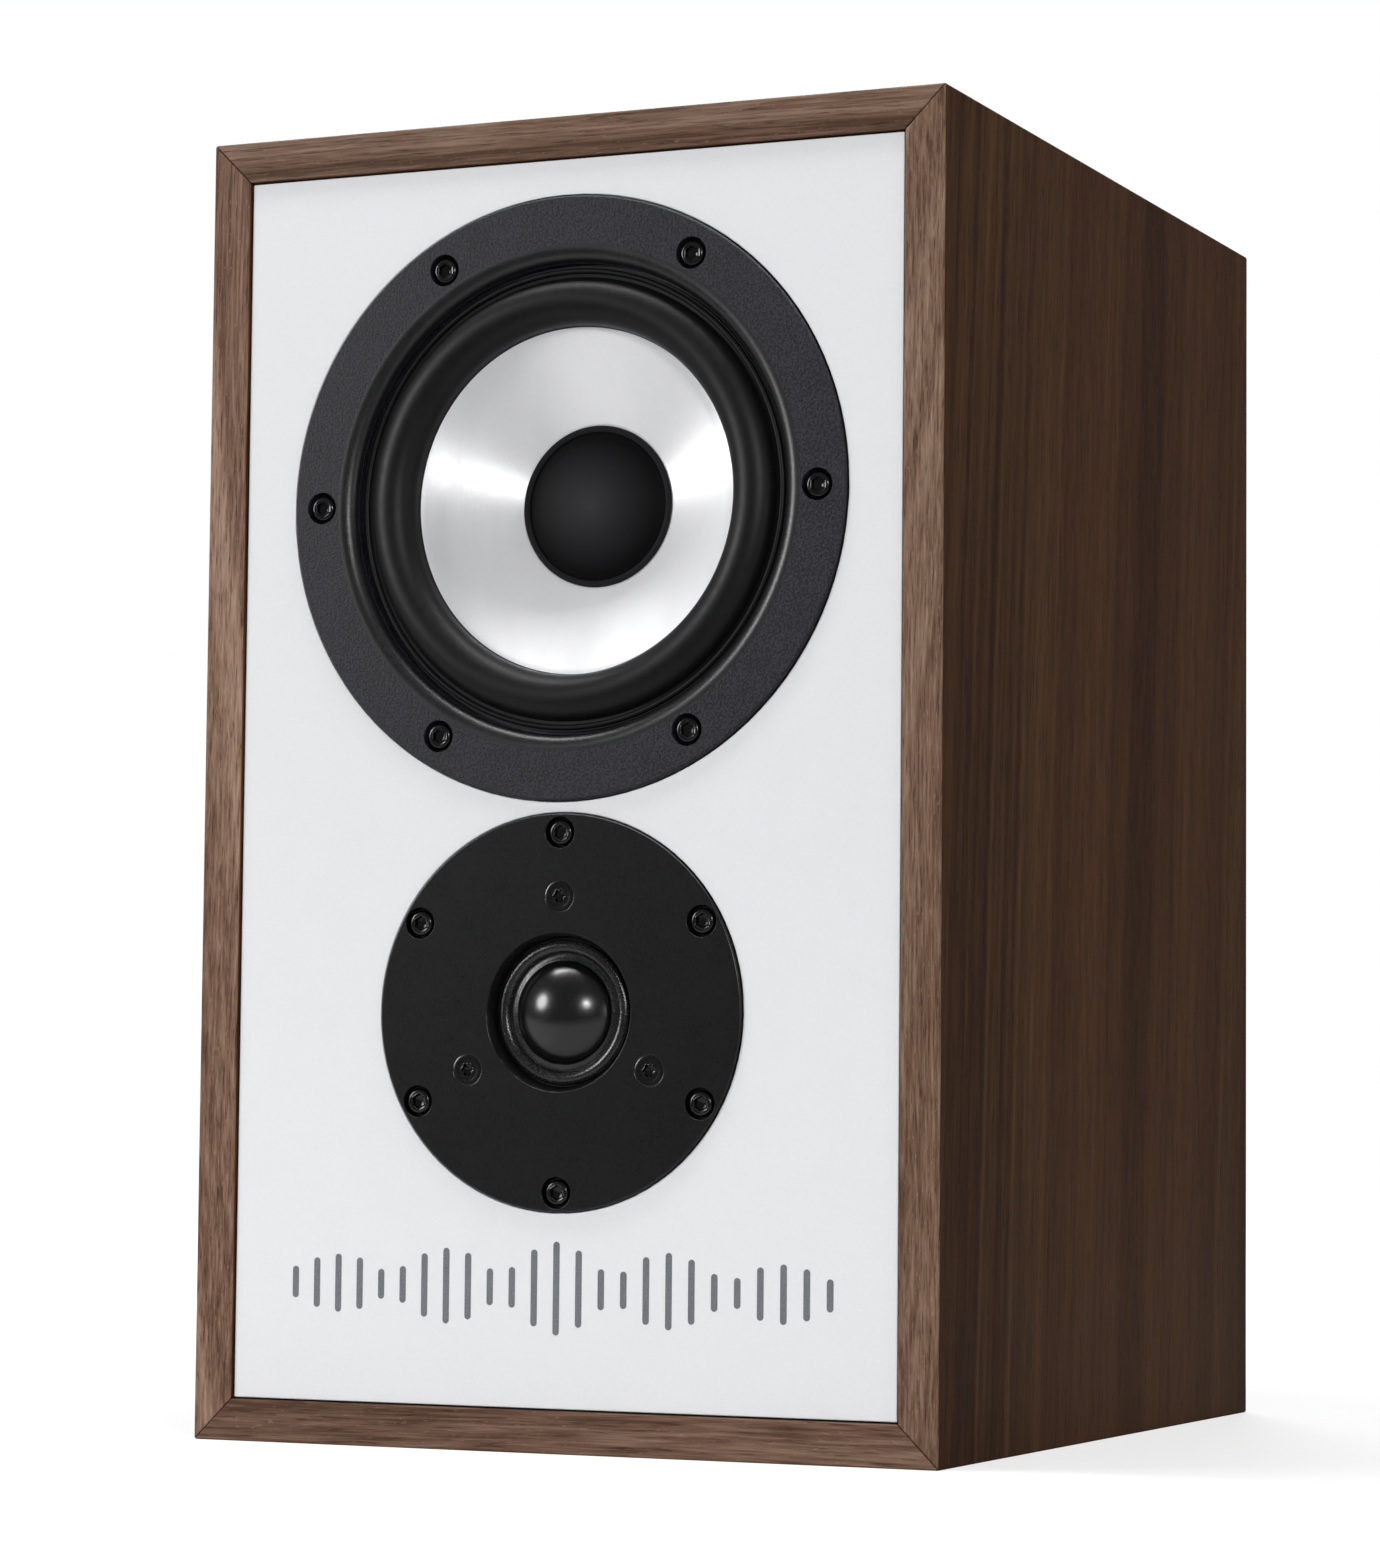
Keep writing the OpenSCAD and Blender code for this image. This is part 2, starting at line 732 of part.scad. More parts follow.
// A small half-roll of coated cloth with a flat ring outside it
module tweeter_surround() {
    centre = [small_roll_centre, clamp_depth + cloth_t];
    front_r = small_roll_r + cloth_t / 2;
    back_r = small_roll_r - cloth_t / 2;
    foot = asin(cloth_t / front_r);
    inner = dome_r + glue_gap;
    color("#8b8c90")
    driver(tweeter_z) rotate_extrude() polygon(concat(
        [[clamp_r - 0.2, clamp_depth]],
        arc(centre, front_r, foot, 180 - foot, 14),
        [[inner, clamp_depth], [inner, clamp_depth + cloth_t]],
        arc(centre, back_r, 180, 0, 14),
        [[clamp_r - 0.2, clamp_depth + cloth_t]]
    ));
}

module tweeter_mounting_ring() {
    color("#303033")
    driver(tweeter_z)
        ring(clamp_r - 0.2, small_roll_centre + small_roll_r, clamp_depth + cloth_t,
            tweeter_plate_front);
}

// The bobbin behind the dome's edge, with its winding
module tweeter_voice_coil() {
    color("#b4612d")
    driver(tweeter_z) difference() {
        union() {
            disc(bobbin_out_r, dome_depth, bobbin_end);
            disc(tweeter_coil_r, bobbin_end - 3.7, bobbin_end - 0.7);
        }
        disc(bobbin_in_r, 0, bobbin_end + eps);
    }
}

module tweeter_top_plate() {
    color("#3a3b3d")
    driver(tweeter_z) difference() {
        ring(hub_r, tweeter_coil_r + 0.5, tweeter_plate_front, tweeter_plate_back);
        around(3, motor_screw_circle, 90)
            disc(motor_screw_shank_r + pilot_gap, tweeter_plate_front - eps,
                tweeter_plate_back + eps);
    }
}

module tweeter_magnet() {
    color("#2b2b2d")
    driver(tweeter_z) ring(hub_r, tweeter_magnet_in_r, tweeter_plate_back, tweeter_magnet_back);
}

module tweeter_pole_piece() {
    color("#3a3b3d")
    driver(tweeter_z) difference() {
        union() {
            disc(hub_r - 1, tweeter_magnet_back, tweeter_motor_back);
            disc(tweeter_pole_r, tweeter_plate_front, tweeter_magnet_back);
        }
        disc(tweeter_vent_r, 0, tweeter_motor_back + eps);
    }
}

module tweeter_rear_chamber() {
    chamber_r = 24;
    chamber_t = 2;
    chamber_back = 42;
    color("#1d1d1f")
    driver(tweeter_z) difference() {
        disc(chamber_r, tweeter_motor_back, chamber_back);
        disc(chamber_r - chamber_t, tweeter_motor_back - eps, chamber_back - chamber_t);
    }
}

module tweeter_terminals() {
    color("#7a5a34")
    driver(tweeter_z) {
        translate([-9, tab_r - 4, tweeter_motor_back]) cube([18, 8, tab_block_t]);
        for (x = [-5, 5])
            translate([x - 1.4, tab_r - 0.4, tweeter_motor_back + tab_block_t])
                cube([2.8, 0.8, tab_length]);
    }
}

module tweeter_motor_screws() {
    color("#161616")
    driver(tweeter_z) around(3, motor_screw_circle, 90)
        translate([0, 0, 0.1])
            countersunk_screw(motor_screw_head_r, motor_screw_shank_r, 10.4);
}

module tweeter_screws() {
    color("#161616")
    driver(tweeter_z) around(6, tweeter_screw_circle, 30)
        translate([0, 0, screw_sink]) cap_screw(tweeter_screw);
}

// ---- Port and terminals ----

// A reflex tube flared at both ends, with a flange let into the rear panel
module port_tube() {
    steps = 10;
    inner_end = port_proud - port_length;
    mouth_curve = [
        for (i = [0 : steps])
            let (a = 90 * i / steps)
            [port_r + mouth_flare * (1 - sin(a)), port_proud - mouth_flare_depth * (1 - cos(a))]
    ];
    inner_curve = [
        for (i = [0 : steps])
            let (a = 90 - 90 * i / steps)
            [port_r + inner_flare * (1 - sin(a)),
                inner_end + inner_flare_depth * (1 - cos(a))]
    ];
    bore_side = concat(mouth_curve, inner_curve);
    outer_side = [
        for (p = reverse(bore_side))
            if (p[1] < port_proud - port_flange_t - 0.1) [p[0] + port_wall, p[1]]
    ];
    neck = port_r + mouth_flare + port_wall - 0.5;
    color("#1b1b1c")
    translate([0, rear_face_y, port_z]) rotate([-90, 0, 0]) rotate_extrude()
        polygon(concat(
            bore_side, outer_side,
            [[neck, port_proud - port_flange_t], [port_flange_r, port_proud - port_flange_t],
                [port_flange_r, port_proud - 0.6], [port_flange_r - 0.6, port_proud]]
        ));
}

module plate_holes(r) {
    for (x = [-1, 1], z = [-1, 1])
        translate([x * plate_screw_x, plate_y, terminal_z + z * plate_screw_z])
            rotate([-90, 0, 0]) disc(r, -2 * gasket_t, plate_t + eps);
}

// A rectangular plate with rounded corners, flat against the rear panel
module rounded_plate(w, h, corner, y, t) {
    translate([0, y, terminal_z]) rotate([-90, 0, 0]) {
        for (x = [-1, 1], z = [-1, 1])
            translate([x * (w / 2 - corner), z * (h / 2 - corner), 0]) disc(corner, 0, t);
        translate([-w / 2 + corner, -h / 2, 0]) cube([w - 2 * corner, h, t]);
        translate([-w / 2, -h / 2 + corner, 0]) cube([w, h - 2 * corner, t]);
    }
}

module terminal_plate() {
    color("#2a2a2c")
    difference() {
        rounded_plate(terminal_w, terminal_h, 6, plate_y, plate_t);
        plate_holes(plate_screw[2] + 0.3);
        for (x = [-1, 1])
            translate([x * post_spacing / 2, plate_y, terminal_z]) rotate([-90, 0, 0])
                disc(neck_r + 0.1, -eps, plate_t + eps);
    }
}

module terminal_gasket() {
    color("#1c1c1e")
    difference() {
        rounded_plate(terminal_w - 2, terminal_h - 2, 5, rear_face_y, gasket_t);
        plate_holes(plate_screw[2] + 0.2);
        translate([-window_w / 2, rear_face_y - eps, terminal_z - window_h / 2])
            cube([window_w, gasket_t + 2 * eps, window_h]);
    }
}

module terminal_screws() {
    color("#161616")
    for (x = [-1, 1], z = [-1, 1])
        translate([x * plate_screw_x, plate_out_y + plate_screw[1], terminal_z + z * plate_screw_z])
            rotate([90, 0, 0]) cap_screw(plate_screw);
}

// Places a binding post's local frame: local Z runs out of the cabinet
module post(side) {
    translate([side * post_spacing / 2, 0, terminal_z]) rotate([-90, 0, 0]) children();
}

module post_stud(side) {
    color("#c9a545")
    post(side) difference() {
        union() {
            disc(shank_r, plate_y - shank_in, stud_y - collar_t);
            disc(collar_r, stud_y - collar_t, stud_y);
            disc(stud_r, stud_y, stud_y + stud_length);
        }
        disc(socket_r, stud_y + stud_length - socket_depth, stud_y + stud_length + eps);
        translate([0, -stud_r - eps, stud_y + 2 * wire_hole_r]) rotate([-90, 0, 0])
            cylinder(r = wire_hole_r, h = 2 * (stud_r + eps));
    }
}

// A collar between the post and the plate, with a sleeve through the plate
module post_insulator(side, tint) {
    color(tint)
    post(side) difference() {
        union() {
            disc(insulator_r, plate_out_y, plate_out_y + insulator_t);
            disc(neck_r, plate_y, plate_out_y);
        }
        disc(shank_r + pilot_gap, plate_y - eps, plate_out_y + insulator_t + eps);
    }
}

// The loose washer under a knob, which slides on the stud without turning
module clamp_washer(side) {
    start = stud_y + seat_gap;
    color("#c9a545")
    post(side) ring(knob_washer_r, stud_r + running_gap, start, start + knob_washer_t);
}

module knob(side, tint) {
    start = stud_y + 2 * seat_gap + knob_washer_t;
    edge = 1;
    color(tint)
    post(side) difference() {
        union() {
            disc(knob_r, start, start + knob_length - edge);
            translate([0, 0, start + knob_length - edge])
                cylinder(r1 = knob_r, r2 = knob_r - edge, h = edge);
        }
        disc(stud_r + running_gap, start - eps, start + knob_length + eps);
        around(flutes, knob_r + 0.3) disc(flute_r, start + 2.5, start + knob_length + eps);
    }
}

module positive_post() {
    post_stud(1);
}

module negative_post() {
    post_stud(-1);
}

module positive_insulator() {
    post_insulator(1, "#a3191c");
}

module negative_insulator() {
    post_insulator(-1, "#18181a");
}

module positive_washer() {
    clamp_washer(1);
}

module negative_washer() {
    clamp_washer(-1);
}

module positive_knob() {
    knob(1, "#a3191c");
}

module negative_knob() {
    knob(-1, "#18181a");
}

// Behind the plate: an insulating washer and a hexagonal nut on each post
module post_nuts() {
    color("#b9b9bb")
    for (side = [-1, 1])
        post(side) difference() {
            union() {
                disc(insulator_r - 1, plate_y - post_washer_t, plate_y);
                translate([0, 0, plate_y - post_washer_t - nut_t])
                    cylinder(r = nut_r, h = nut_t, $fn = 6);
            }
            disc(shank_r + pilot_gap, plate_y - shank_in, plate_y + eps);
        }
}

// ---- Crossover ----

module board_posts() {
    for (x = [-1, 1], y = [-1, 1])
        translate([x * standoff_x, board_y + y * standoff_y, 0]) children();
}

module crossover_board() {
    color("#2f5d3a")
    difference() {
        translate([-board_w / 2, board_y - board_d / 2, board_top - board_t])
            cube([board_w, board_d, board_t]);
        board_posts() translate([0, 0, board_top - board_t])
            disc(board_screw_r + 0.2, -eps, board_t + eps);
    }
}

// Round spacers with a screw through each, from the board into the bottom panel
module crossover_standoffs() {
    color("#b9b9bb")
    board_posts() {
        disc(standoff_r, wall_t, wall_t + standoff_h);
        disc(board_screw_r, wall_t + standoff_h, board_top);
        disc(2 * board_screw_r, board_top, board_top + board_screw_r);
    }
}

// A coil of radius r and height h, wound on a flanged bobbin that stands on the board
module inductor(x, y, r, h) {
    cheek = 2;
    bore = r * 0.4;
    color("#b4612d")
    translate([x, y, board_top]) {
        ring(r, bore, 0, cheek);
        ring(r - 1.5, bore, cheek, h - cheek);
        ring(r, bore, h - cheek, h);
    }
}

module bass_inductor() {
    inductor(34, 62, 25, 26);
}

module treble_inductor() {
    inductor(-44, 80, 17, 18);
}

// Film capacitors lying on the board: each is [x, y, radius, length]
module crossover_capacitors() {
    color("#8f8a3c")
    for (c = [[-8, 60, 11, 42], [-34, 46, 8, 32], [-54, 46, 8, 32]])
        translate([c[0], c[1] - c[3] / 2, board_top + c[2]]) rotate([-90, 0, 0]) {
            disc(c[2], 0, c[3]);
            disc(0.5, -4, c[3] + 4);
        }
}

module crossover_resistor() {
    size = [48, 9, 9];
    tail = 4;
    color("#d8d4c8")
    translate([-20, 87.5, board_top]) {
        cube(size);
        translate([-tail, size[1] / 2, size[2] / 2]) rotate([0, 90, 0])
            disc(0.5, 0, size[0] + 2 * tail);
    }
}

// ---- Wiring ----

module terminal_leads() {
    color("#8c1b1b") {
        wire(terminal_route, lead_r);
        mirror([1, 0, 0]) wire(terminal_route, lead_r);
    }
}

module woofer_leads() {
    color("#8c1b1b") wire_pair(woofer_route, lead_r, -12);
}

module tweeter_leads() {
    color("#26262a") wire_pair(tweeter_route, lead_r, 10);
}

left_side_panel();
right_side_panel();
top_panel();
bottom_panel();
front_baffle();
rear_panel();
window_brace();
left_foam();
right_foam();
woofer_frame();
woofer_gasket();
woofer_trim_ring();
woofer_surround();
woofer_cone();
woofer_dust_cap();
woofer_former();
woofer_voice_coil();
woofer_spider();
woofer_top_plate();
woofer_magnet();
woofer_pole_piece();
woofer_motor_screws();
woofer_terminals();
woofer_tinsel_leads();
woofer_screws();
tweeter_faceplate();
tweeter_gasket();
tweeter_dome();
tweeter_surround();
tweeter_mounting_ring();
tweeter_voice_coil();
tweeter_top_plate();
tweeter_magnet();
tweeter_pole_piece();
tweeter_rear_chamber();
tweeter_terminals();
tweeter_motor_screws();
tweeter_screws();
port_tube();
terminal_plate();
terminal_gasket();
terminal_screws();
positive_post();
negative_post();
positive_insulator();
negative_insulator();
positive_washer();
negative_washer();
positive_knob();
negative_knob();
post_nuts();
crossover_board();
crossover_standoffs();
bass_inductor();
treble_inductor();
crossover_capacitors();
crossover_resistor();
terminal_leads();
woofer_leads();
tweeter_leads();
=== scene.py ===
"""Looks for a bookshelf speaker: walnut cabinet, white baffle, metal-cone woofer above a dome tweeter.

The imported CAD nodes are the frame. Turned and flexible pieces, screw heads, threads, foam, windings
and the printed ornament are built here. Positions are metres, with X width, -Y front and Z up.
Profiles are (radius, depth) in millimetres, with depth measured back from the cabinet's front edge.
"""

import json
import math

import bmesh
import bpy
from mathutils import Matrix, Vector


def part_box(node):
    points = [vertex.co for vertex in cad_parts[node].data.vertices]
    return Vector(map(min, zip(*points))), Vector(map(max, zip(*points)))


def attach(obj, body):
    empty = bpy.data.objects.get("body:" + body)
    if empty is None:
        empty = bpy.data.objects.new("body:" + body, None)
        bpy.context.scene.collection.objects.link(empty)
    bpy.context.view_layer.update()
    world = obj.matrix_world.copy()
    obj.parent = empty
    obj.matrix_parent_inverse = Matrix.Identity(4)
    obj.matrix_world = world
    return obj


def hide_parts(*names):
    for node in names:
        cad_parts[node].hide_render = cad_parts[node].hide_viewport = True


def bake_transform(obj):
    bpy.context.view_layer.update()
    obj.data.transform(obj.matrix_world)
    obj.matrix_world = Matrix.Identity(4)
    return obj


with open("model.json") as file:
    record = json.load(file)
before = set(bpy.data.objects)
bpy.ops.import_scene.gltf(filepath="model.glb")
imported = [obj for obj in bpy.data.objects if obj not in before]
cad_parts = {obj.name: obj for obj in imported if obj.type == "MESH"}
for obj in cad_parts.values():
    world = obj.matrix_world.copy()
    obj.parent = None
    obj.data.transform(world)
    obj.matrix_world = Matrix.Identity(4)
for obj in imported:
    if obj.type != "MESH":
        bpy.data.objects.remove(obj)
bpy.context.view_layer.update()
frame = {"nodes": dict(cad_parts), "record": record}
NODES = frame["nodes"]
MM = 0.001


# ---------------------------------------------------------------- places taken from the frame

def middle(node):
    low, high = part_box(node)
    return (low + high) / 2


def size(node):
    low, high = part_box(node)
    return high - low


def radius(node):
    """Outer radius in mm of a node turned about a driver's axis."""
    return size(node).x / 2 / MM


def depths(node):
    """Front and back of a node, in mm behind the cabinet's front edge."""
    low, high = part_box(node)
    return (low.y - FRONT) / MM, (high.y - FRONT) / MM


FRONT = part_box("left_side_panel")[0].y          # the cabinet's front edge
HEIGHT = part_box("top_panel")[1].z
WOOFER = Vector((0, FRONT, middle("woofer_frame").z))
TWEETER = Vector((0, FRONT, middle("tweeter_faceplate").z))


# ---------------------------------------------------------------- shader graphs

class Graph:
    """A material being built: every method adds nodes and returns an output socket."""

    def __init__(self, name, **values):
        self.material = bpy.data.materials.new(name)
        self.material.use_nodes = True
        self.tree = self.material.node_tree
        self.shader = self.tree.nodes["Principled BSDF"]
        for key, value in values.items():
            self.shader.inputs[key.replace("_", " ")].default_value = value
        self.coords = self.node("ShaderNodeTexCoord").outputs["Object"]

    def node(self, kind, inputs=None, **settings):
        made = self.tree.nodes.new(kind)
        for key, value in settings.items():
            setattr(made, key, value)
        for key, value in (inputs or {}).items():
            if isinstance(value, bpy.types.NodeSocket):
                self.tree.links.new(value, made.inputs[key])
            else:
                made.inputs[key].default_value = value
        return made

    def feed(self, key, socket):
        self.tree.links.new(socket, self.shader.inputs[key])

    def placed(self, scale, turn=(0, 0, 0), shift=(0, 0, 0), vector=None):
        return self.node("ShaderNodeMapping", {
            "Vector": vector or self.coords, "Scale": scale, "Rotation": turn, "Location": shift,
        }).outputs["Vector"]

    def noise(self, vector, detail=3.0, roughness=0.5, output="Fac"):
        return self.node("ShaderNodeTexNoise", {
            "Vector": vector, "Scale": 1.0, "Detail": detail, "Roughness": roughness,
        }).outputs[output]

    def span(self, value, low, high, to_low=0.0, to_high=1.0):
        return self.node("ShaderNodeMapRange", {
            "Value": value, "From Min": low, "From Max": high, "To Min": to_low, "To Max": to_high,
        }).outputs["Result"]

    def ramp(self, value, stops):
        made = self.node("ShaderNodeValToRGB", {"Fac": value})
        elements = made.color_ramp.elements
        while len(elements) < len(stops):
            elements.new(1.0)
        for element, (place, colour) in zip(elements, stops):
            element.position = place
            element.color = (*colour, 1)
        return made.outputs["Color"]

    def mix(self, amount, first, second, mode="MIX"):
        made = self.node("ShaderNodeMix", data_type="RGBA", blend_type=mode)
        for index, value in ((0, amount), (6, first), (7, second)):
            if isinstance(value, bpy.types.NodeSocket):
                self.tree.links.new(value, made.inputs[index])
            else:
                made.inputs[index].default_value = value if index == 0 else (*value, 1)
        return made.outputs[2]

    def math(self, operation, first, second=0.0):
        return self.node("ShaderNodeMath", {0: first, 1: second}, operation=operation).outputs[0]

    def vector(self, operation, first, second, output="Vector"):
        return self.node("ShaderNodeVectorMath", {0: first, 1: second},
                         operation=operation).outputs[output]

    def blend(self, *weighted):
        """The sum of (value, weight) pairs."""
        total = 0.0
        for value, weight in weighted:
            total = self.math("ADD", self.math("MULTIPLY", value, weight), total)
        return total

    def tipped(self, lean):
        """The surface's normal, tipped by lean in step with how far it faces to the left or right."""
        facing = self.node("ShaderNodeNewGeometry").outputs["Normal"]
        aside = self.math("ABSOLUTE", self.node("ShaderNodeSeparateXYZ", {0: facing}).outputs["X"], 0)
        tip = self.vector("MULTIPLY", aside, lean)
        return self.vector("NORMALIZE", self.vector("ADD", facing, tip), (0, 0, 0))

    def bump(self, height, distance, strength=1.0, normal=None):
        made = self.node("ShaderNodeBump", {
            "Height": height, "Distance": distance, "Strength": strength,
        })
        if normal:
            self.tree.links.new(normal, made.inputs["Normal"])
        self.feed("Normal", made.outputs["Normal"])


def walnut(name, along, pith, lean, painted_shade_factor=1.0):
    """Lacquered walnut cut from a log: ring lines about a pith, with fibres and pores along it.

    along is the row axis of the grain, pith moves the log's centre line, lean tilts it; the last argument
    darkens this copy of the walnut as painted shade, and faces that don't look to the front or back get a
    further painted shade.
    """
    g = Graph(name, Roughness=0.5, Specular_IOR_Level=0.10)
    turn = (lean, math.radians(90), 0) if along == "X" else (lean, 0, 0)
    log = g.placed((1, 1, 1), turn, pith)
    sway = g.vector("SUBTRACT", g.noise(g.placed((6, 6, 1.5), vector=log), 2, 0.5, "Color"), (0.5,) * 3)
    ripple = g.vector("SUBTRACT", g.noise(g.placed((50, 50, 6), vector=log), 2, 0.5, "Color"), (0.5,) * 3)
    bent = g.vector("ADD", log, g.vector("MULTIPLY", sway, (0.028, 0.028, 0)))
    bent = g.vector("ADD", bent, g.vector("MULTIPLY", ripple, (0.0022, 0.0022, 0)))
    across = g.vector("LENGTH", g.vector("MULTIPLY", bent, (1, 1, 0)), (0, 0, 0), "Value")
    height = g.node("ShaderNodeSeparateXYZ", {0: bent}).outputs["Z"]
    rings = g.node("ShaderNodeCombineXYZ", {
        "X": g.math("MULTIPLY", across, 205.0), "Z": g.math("MULTIPLY", height, 1.2),
    }).outputs[0]
    lines = g.noise(rings, 2, 0.55)
    bands = g.noise(g.placed((0.16, 1, 0.9), vector=rings), 2)
    calm = g.noise(g.placed((0.07, 1, 0.6), shift=(3.7, 0, 0), vector=rings), 1)
    fibre = g.noise(g.placed((1300, 1300, 42), vector=bent), 3, 0.65)
    pores = g.noise(g.placed((2600, 2600, 130), vector=bent), 1, 0.4)
    flecks = g.noise(g.placed((2300, 2300, 420), vector=log), 1, 0.5)
    edge = g.span(g.node("ShaderNodeSeparateXYZ", {0: g.coords}).outputs["Y"],
                  FRONT + 0.04, FRONT + 0.11, 1.25, 0.0)
    force = g.math("MAXIMUM", g.span(calm, 0.38, 0.60, 0.25, 1.1), edge)
    drawn = g.math("MULTIPLY", g.math("SUBTRACT", lines, 0.5), force)
    tone = g.blend((drawn, 0.62), (bands, 0.42), (fibre, 0.58))
    tints = [
        (0.35, (0.100, 0.0470, 0.0290)),
        (0.46, (0.180, 0.0960, 0.0630)),
        (0.55, (0.248, 0.1440, 0.1000)),
        (0.68, (0.370, 0.2350, 0.1720)),
    ]
    # Painted shade: the tints are darkened by the panel's factor.
    colour = g.ramp(tone, [(at, tuple(c * painted_shade_factor for c in tint)) for at, tint in tints])
    cast = g.noise(g.placed((0.11, 1, 0.5), shift=(9.1, 0, 0), vector=rings), 1)
    colour = g.mix(g.span(cast, 0.42, 0.60, 0.0, 0.5), colour, (0.86, 1.0, 0.98), "MULTIPLY")
    pore = g.math("MULTIPLY", g.span(pores, 0.58, 0.68), g.span(fibre, 0.60, 0.45))
    colour = g.mix(g.math("MULTIPLY", pore, 0.60), colour, (0.030, 0.014, 0.008))
    fleck = g.math("MULTIPLY", g.span(flecks, 0.66, 0.74), 0.30)
    # The light flecks are darkened by the same painted shade factor.
    colour = g.mix(fleck, colour, tuple(c * painted_shade_factor for c in (0.40, 0.28, 0.21)))
    # Painted shade: faces that don't look to the front or back, the sides, top and bottom, are darkened and
    # reddened.
    facing = g.node("ShaderNodeNewGeometry").outputs["Normal"]
    side = g.math("ABSOLUTE", g.node("ShaderNodeSeparateXYZ", {0: facing}).outputs["Y"])
    colour = g.mix(g.span(side, 0.3, 0.7, 1.0, 0.0), colour, (0.335, 0.235, 0.13), "MULTIPLY")
    g.feed("Base Color", colour)
    g.feed("Roughness", g.span(fibre, 0.3, 0.7, 0.42, 0.58))
    g.bump(g.math("SUBTRACT", g.math("MULTIPLY", fibre, 0.5), pore), 0.00006, 0.8)
    return g.material


def mottled(name, dark, light, grain, roughness, relief, spread=(0.35, 0.65), cloud=0.2, **more):
    """A finish with fine specks: grain is their size in metres, relief their height."""
    g = Graph(name, **more)
    fine = g.noise(g.placed((1 / grain,) * 3), 3, 0.6)
    broad = g.noise(g.placed((0.07 / grain,) * 3), 2)
    both = g.blend((fine, 1 - cloud), (broad, cloud))
    g.feed("Base Color", g.ramp(both, [(spread[0], dark), (spread[1], light)]))
    g.feed("Roughness", g.span(both, *spread, *roughness))
    g.bump(fine, relief)
    return g.material


def brushed(name, colour, along, roughness, relief=0.000004, contrast=0.14, anisotropy=0.0, metallic=1.0,
            lean=None):
    """Metal with fine straight lines: along is the row axis that they run on.

    lean tips the shading normal, which moves the fans of light that a spun face shows.
    """
    g = Graph(name, Metallic=metallic, Anisotropic=anisotropy)
    across, length = 2600, 22
    scale = tuple(length if axis == along else across for axis in "XYZ")
    lines = g.noise(g.placed(scale), 3, 0.7)
    broad = g.noise(g.placed(tuple(s / 14 for s in scale)), 2)
    both = g.blend((lines, 0.65), (broad, 0.35))
    dark = tuple(c * (1 - contrast) for c in colour)
    g.feed("Base Color", g.ramp(both, [(0.35, dark), (0.65, colour)]))
    g.feed("Roughness", g.span(both, 0.35, 0.65, *roughness))
    g.bump(lines, relief, normal=lean and g.tipped(lean))
    if anisotropy:
        wide = g.node("ShaderNodeCombineXYZ", {"X": 1.0})
        g.feed("Tangent", wide.outputs[0])
    return g.material


def painted_highlight_black(name, painted_centre_highlight, edge_colour, painted_rim_sheen, centre, reach):
    """Matt black coating with painted light: a painted highlight, lightest about an axis, and a painted
    sheen on the rim beyond reach (in mm).
    """
    g = Graph(name, Specular_IOR_Level=0.05)
    away = g.vector("SUBTRACT", g.coords, tuple(centre))
    away = g.vector("LENGTH", g.vector("MULTIPLY", away, (1, 0, 1)), (0, 0, 0), "Value")
    fine = g.noise(g.placed((2400,) * 3), 3, 0.6)
    fade = g.math("ADD", g.span(away, 0.0, reach * MM), g.math("MULTIPLY", fine, 0.06))
    # Painted highlight: lightest at the axis, fading to the black coating at reach.
    painted_highlight = g.ramp(fade, [
        (0.0, painted_centre_highlight), (0.5, tuple((a + b) / 2.2 for a, b in zip(painted_centre_highlight, edge_colour))),
        (0.95, edge_colour),
    ])
    # Painted sheen: the rim beyond reach is made lighter.
    g.feed("Base Color", g.mix(g.span(away, (reach + 0.2) * MM, (reach + 0.5) * MM), painted_highlight, painted_rim_sheen))
    g.feed("Roughness", g.span(fine, 0.3, 0.7, 0.5, 0.6))
    g.bump(fine, 0.000008)
    return g.material


def grey(v):
    return (v, v, v)


def cool(v):
    return (v, v, v * 1.1)


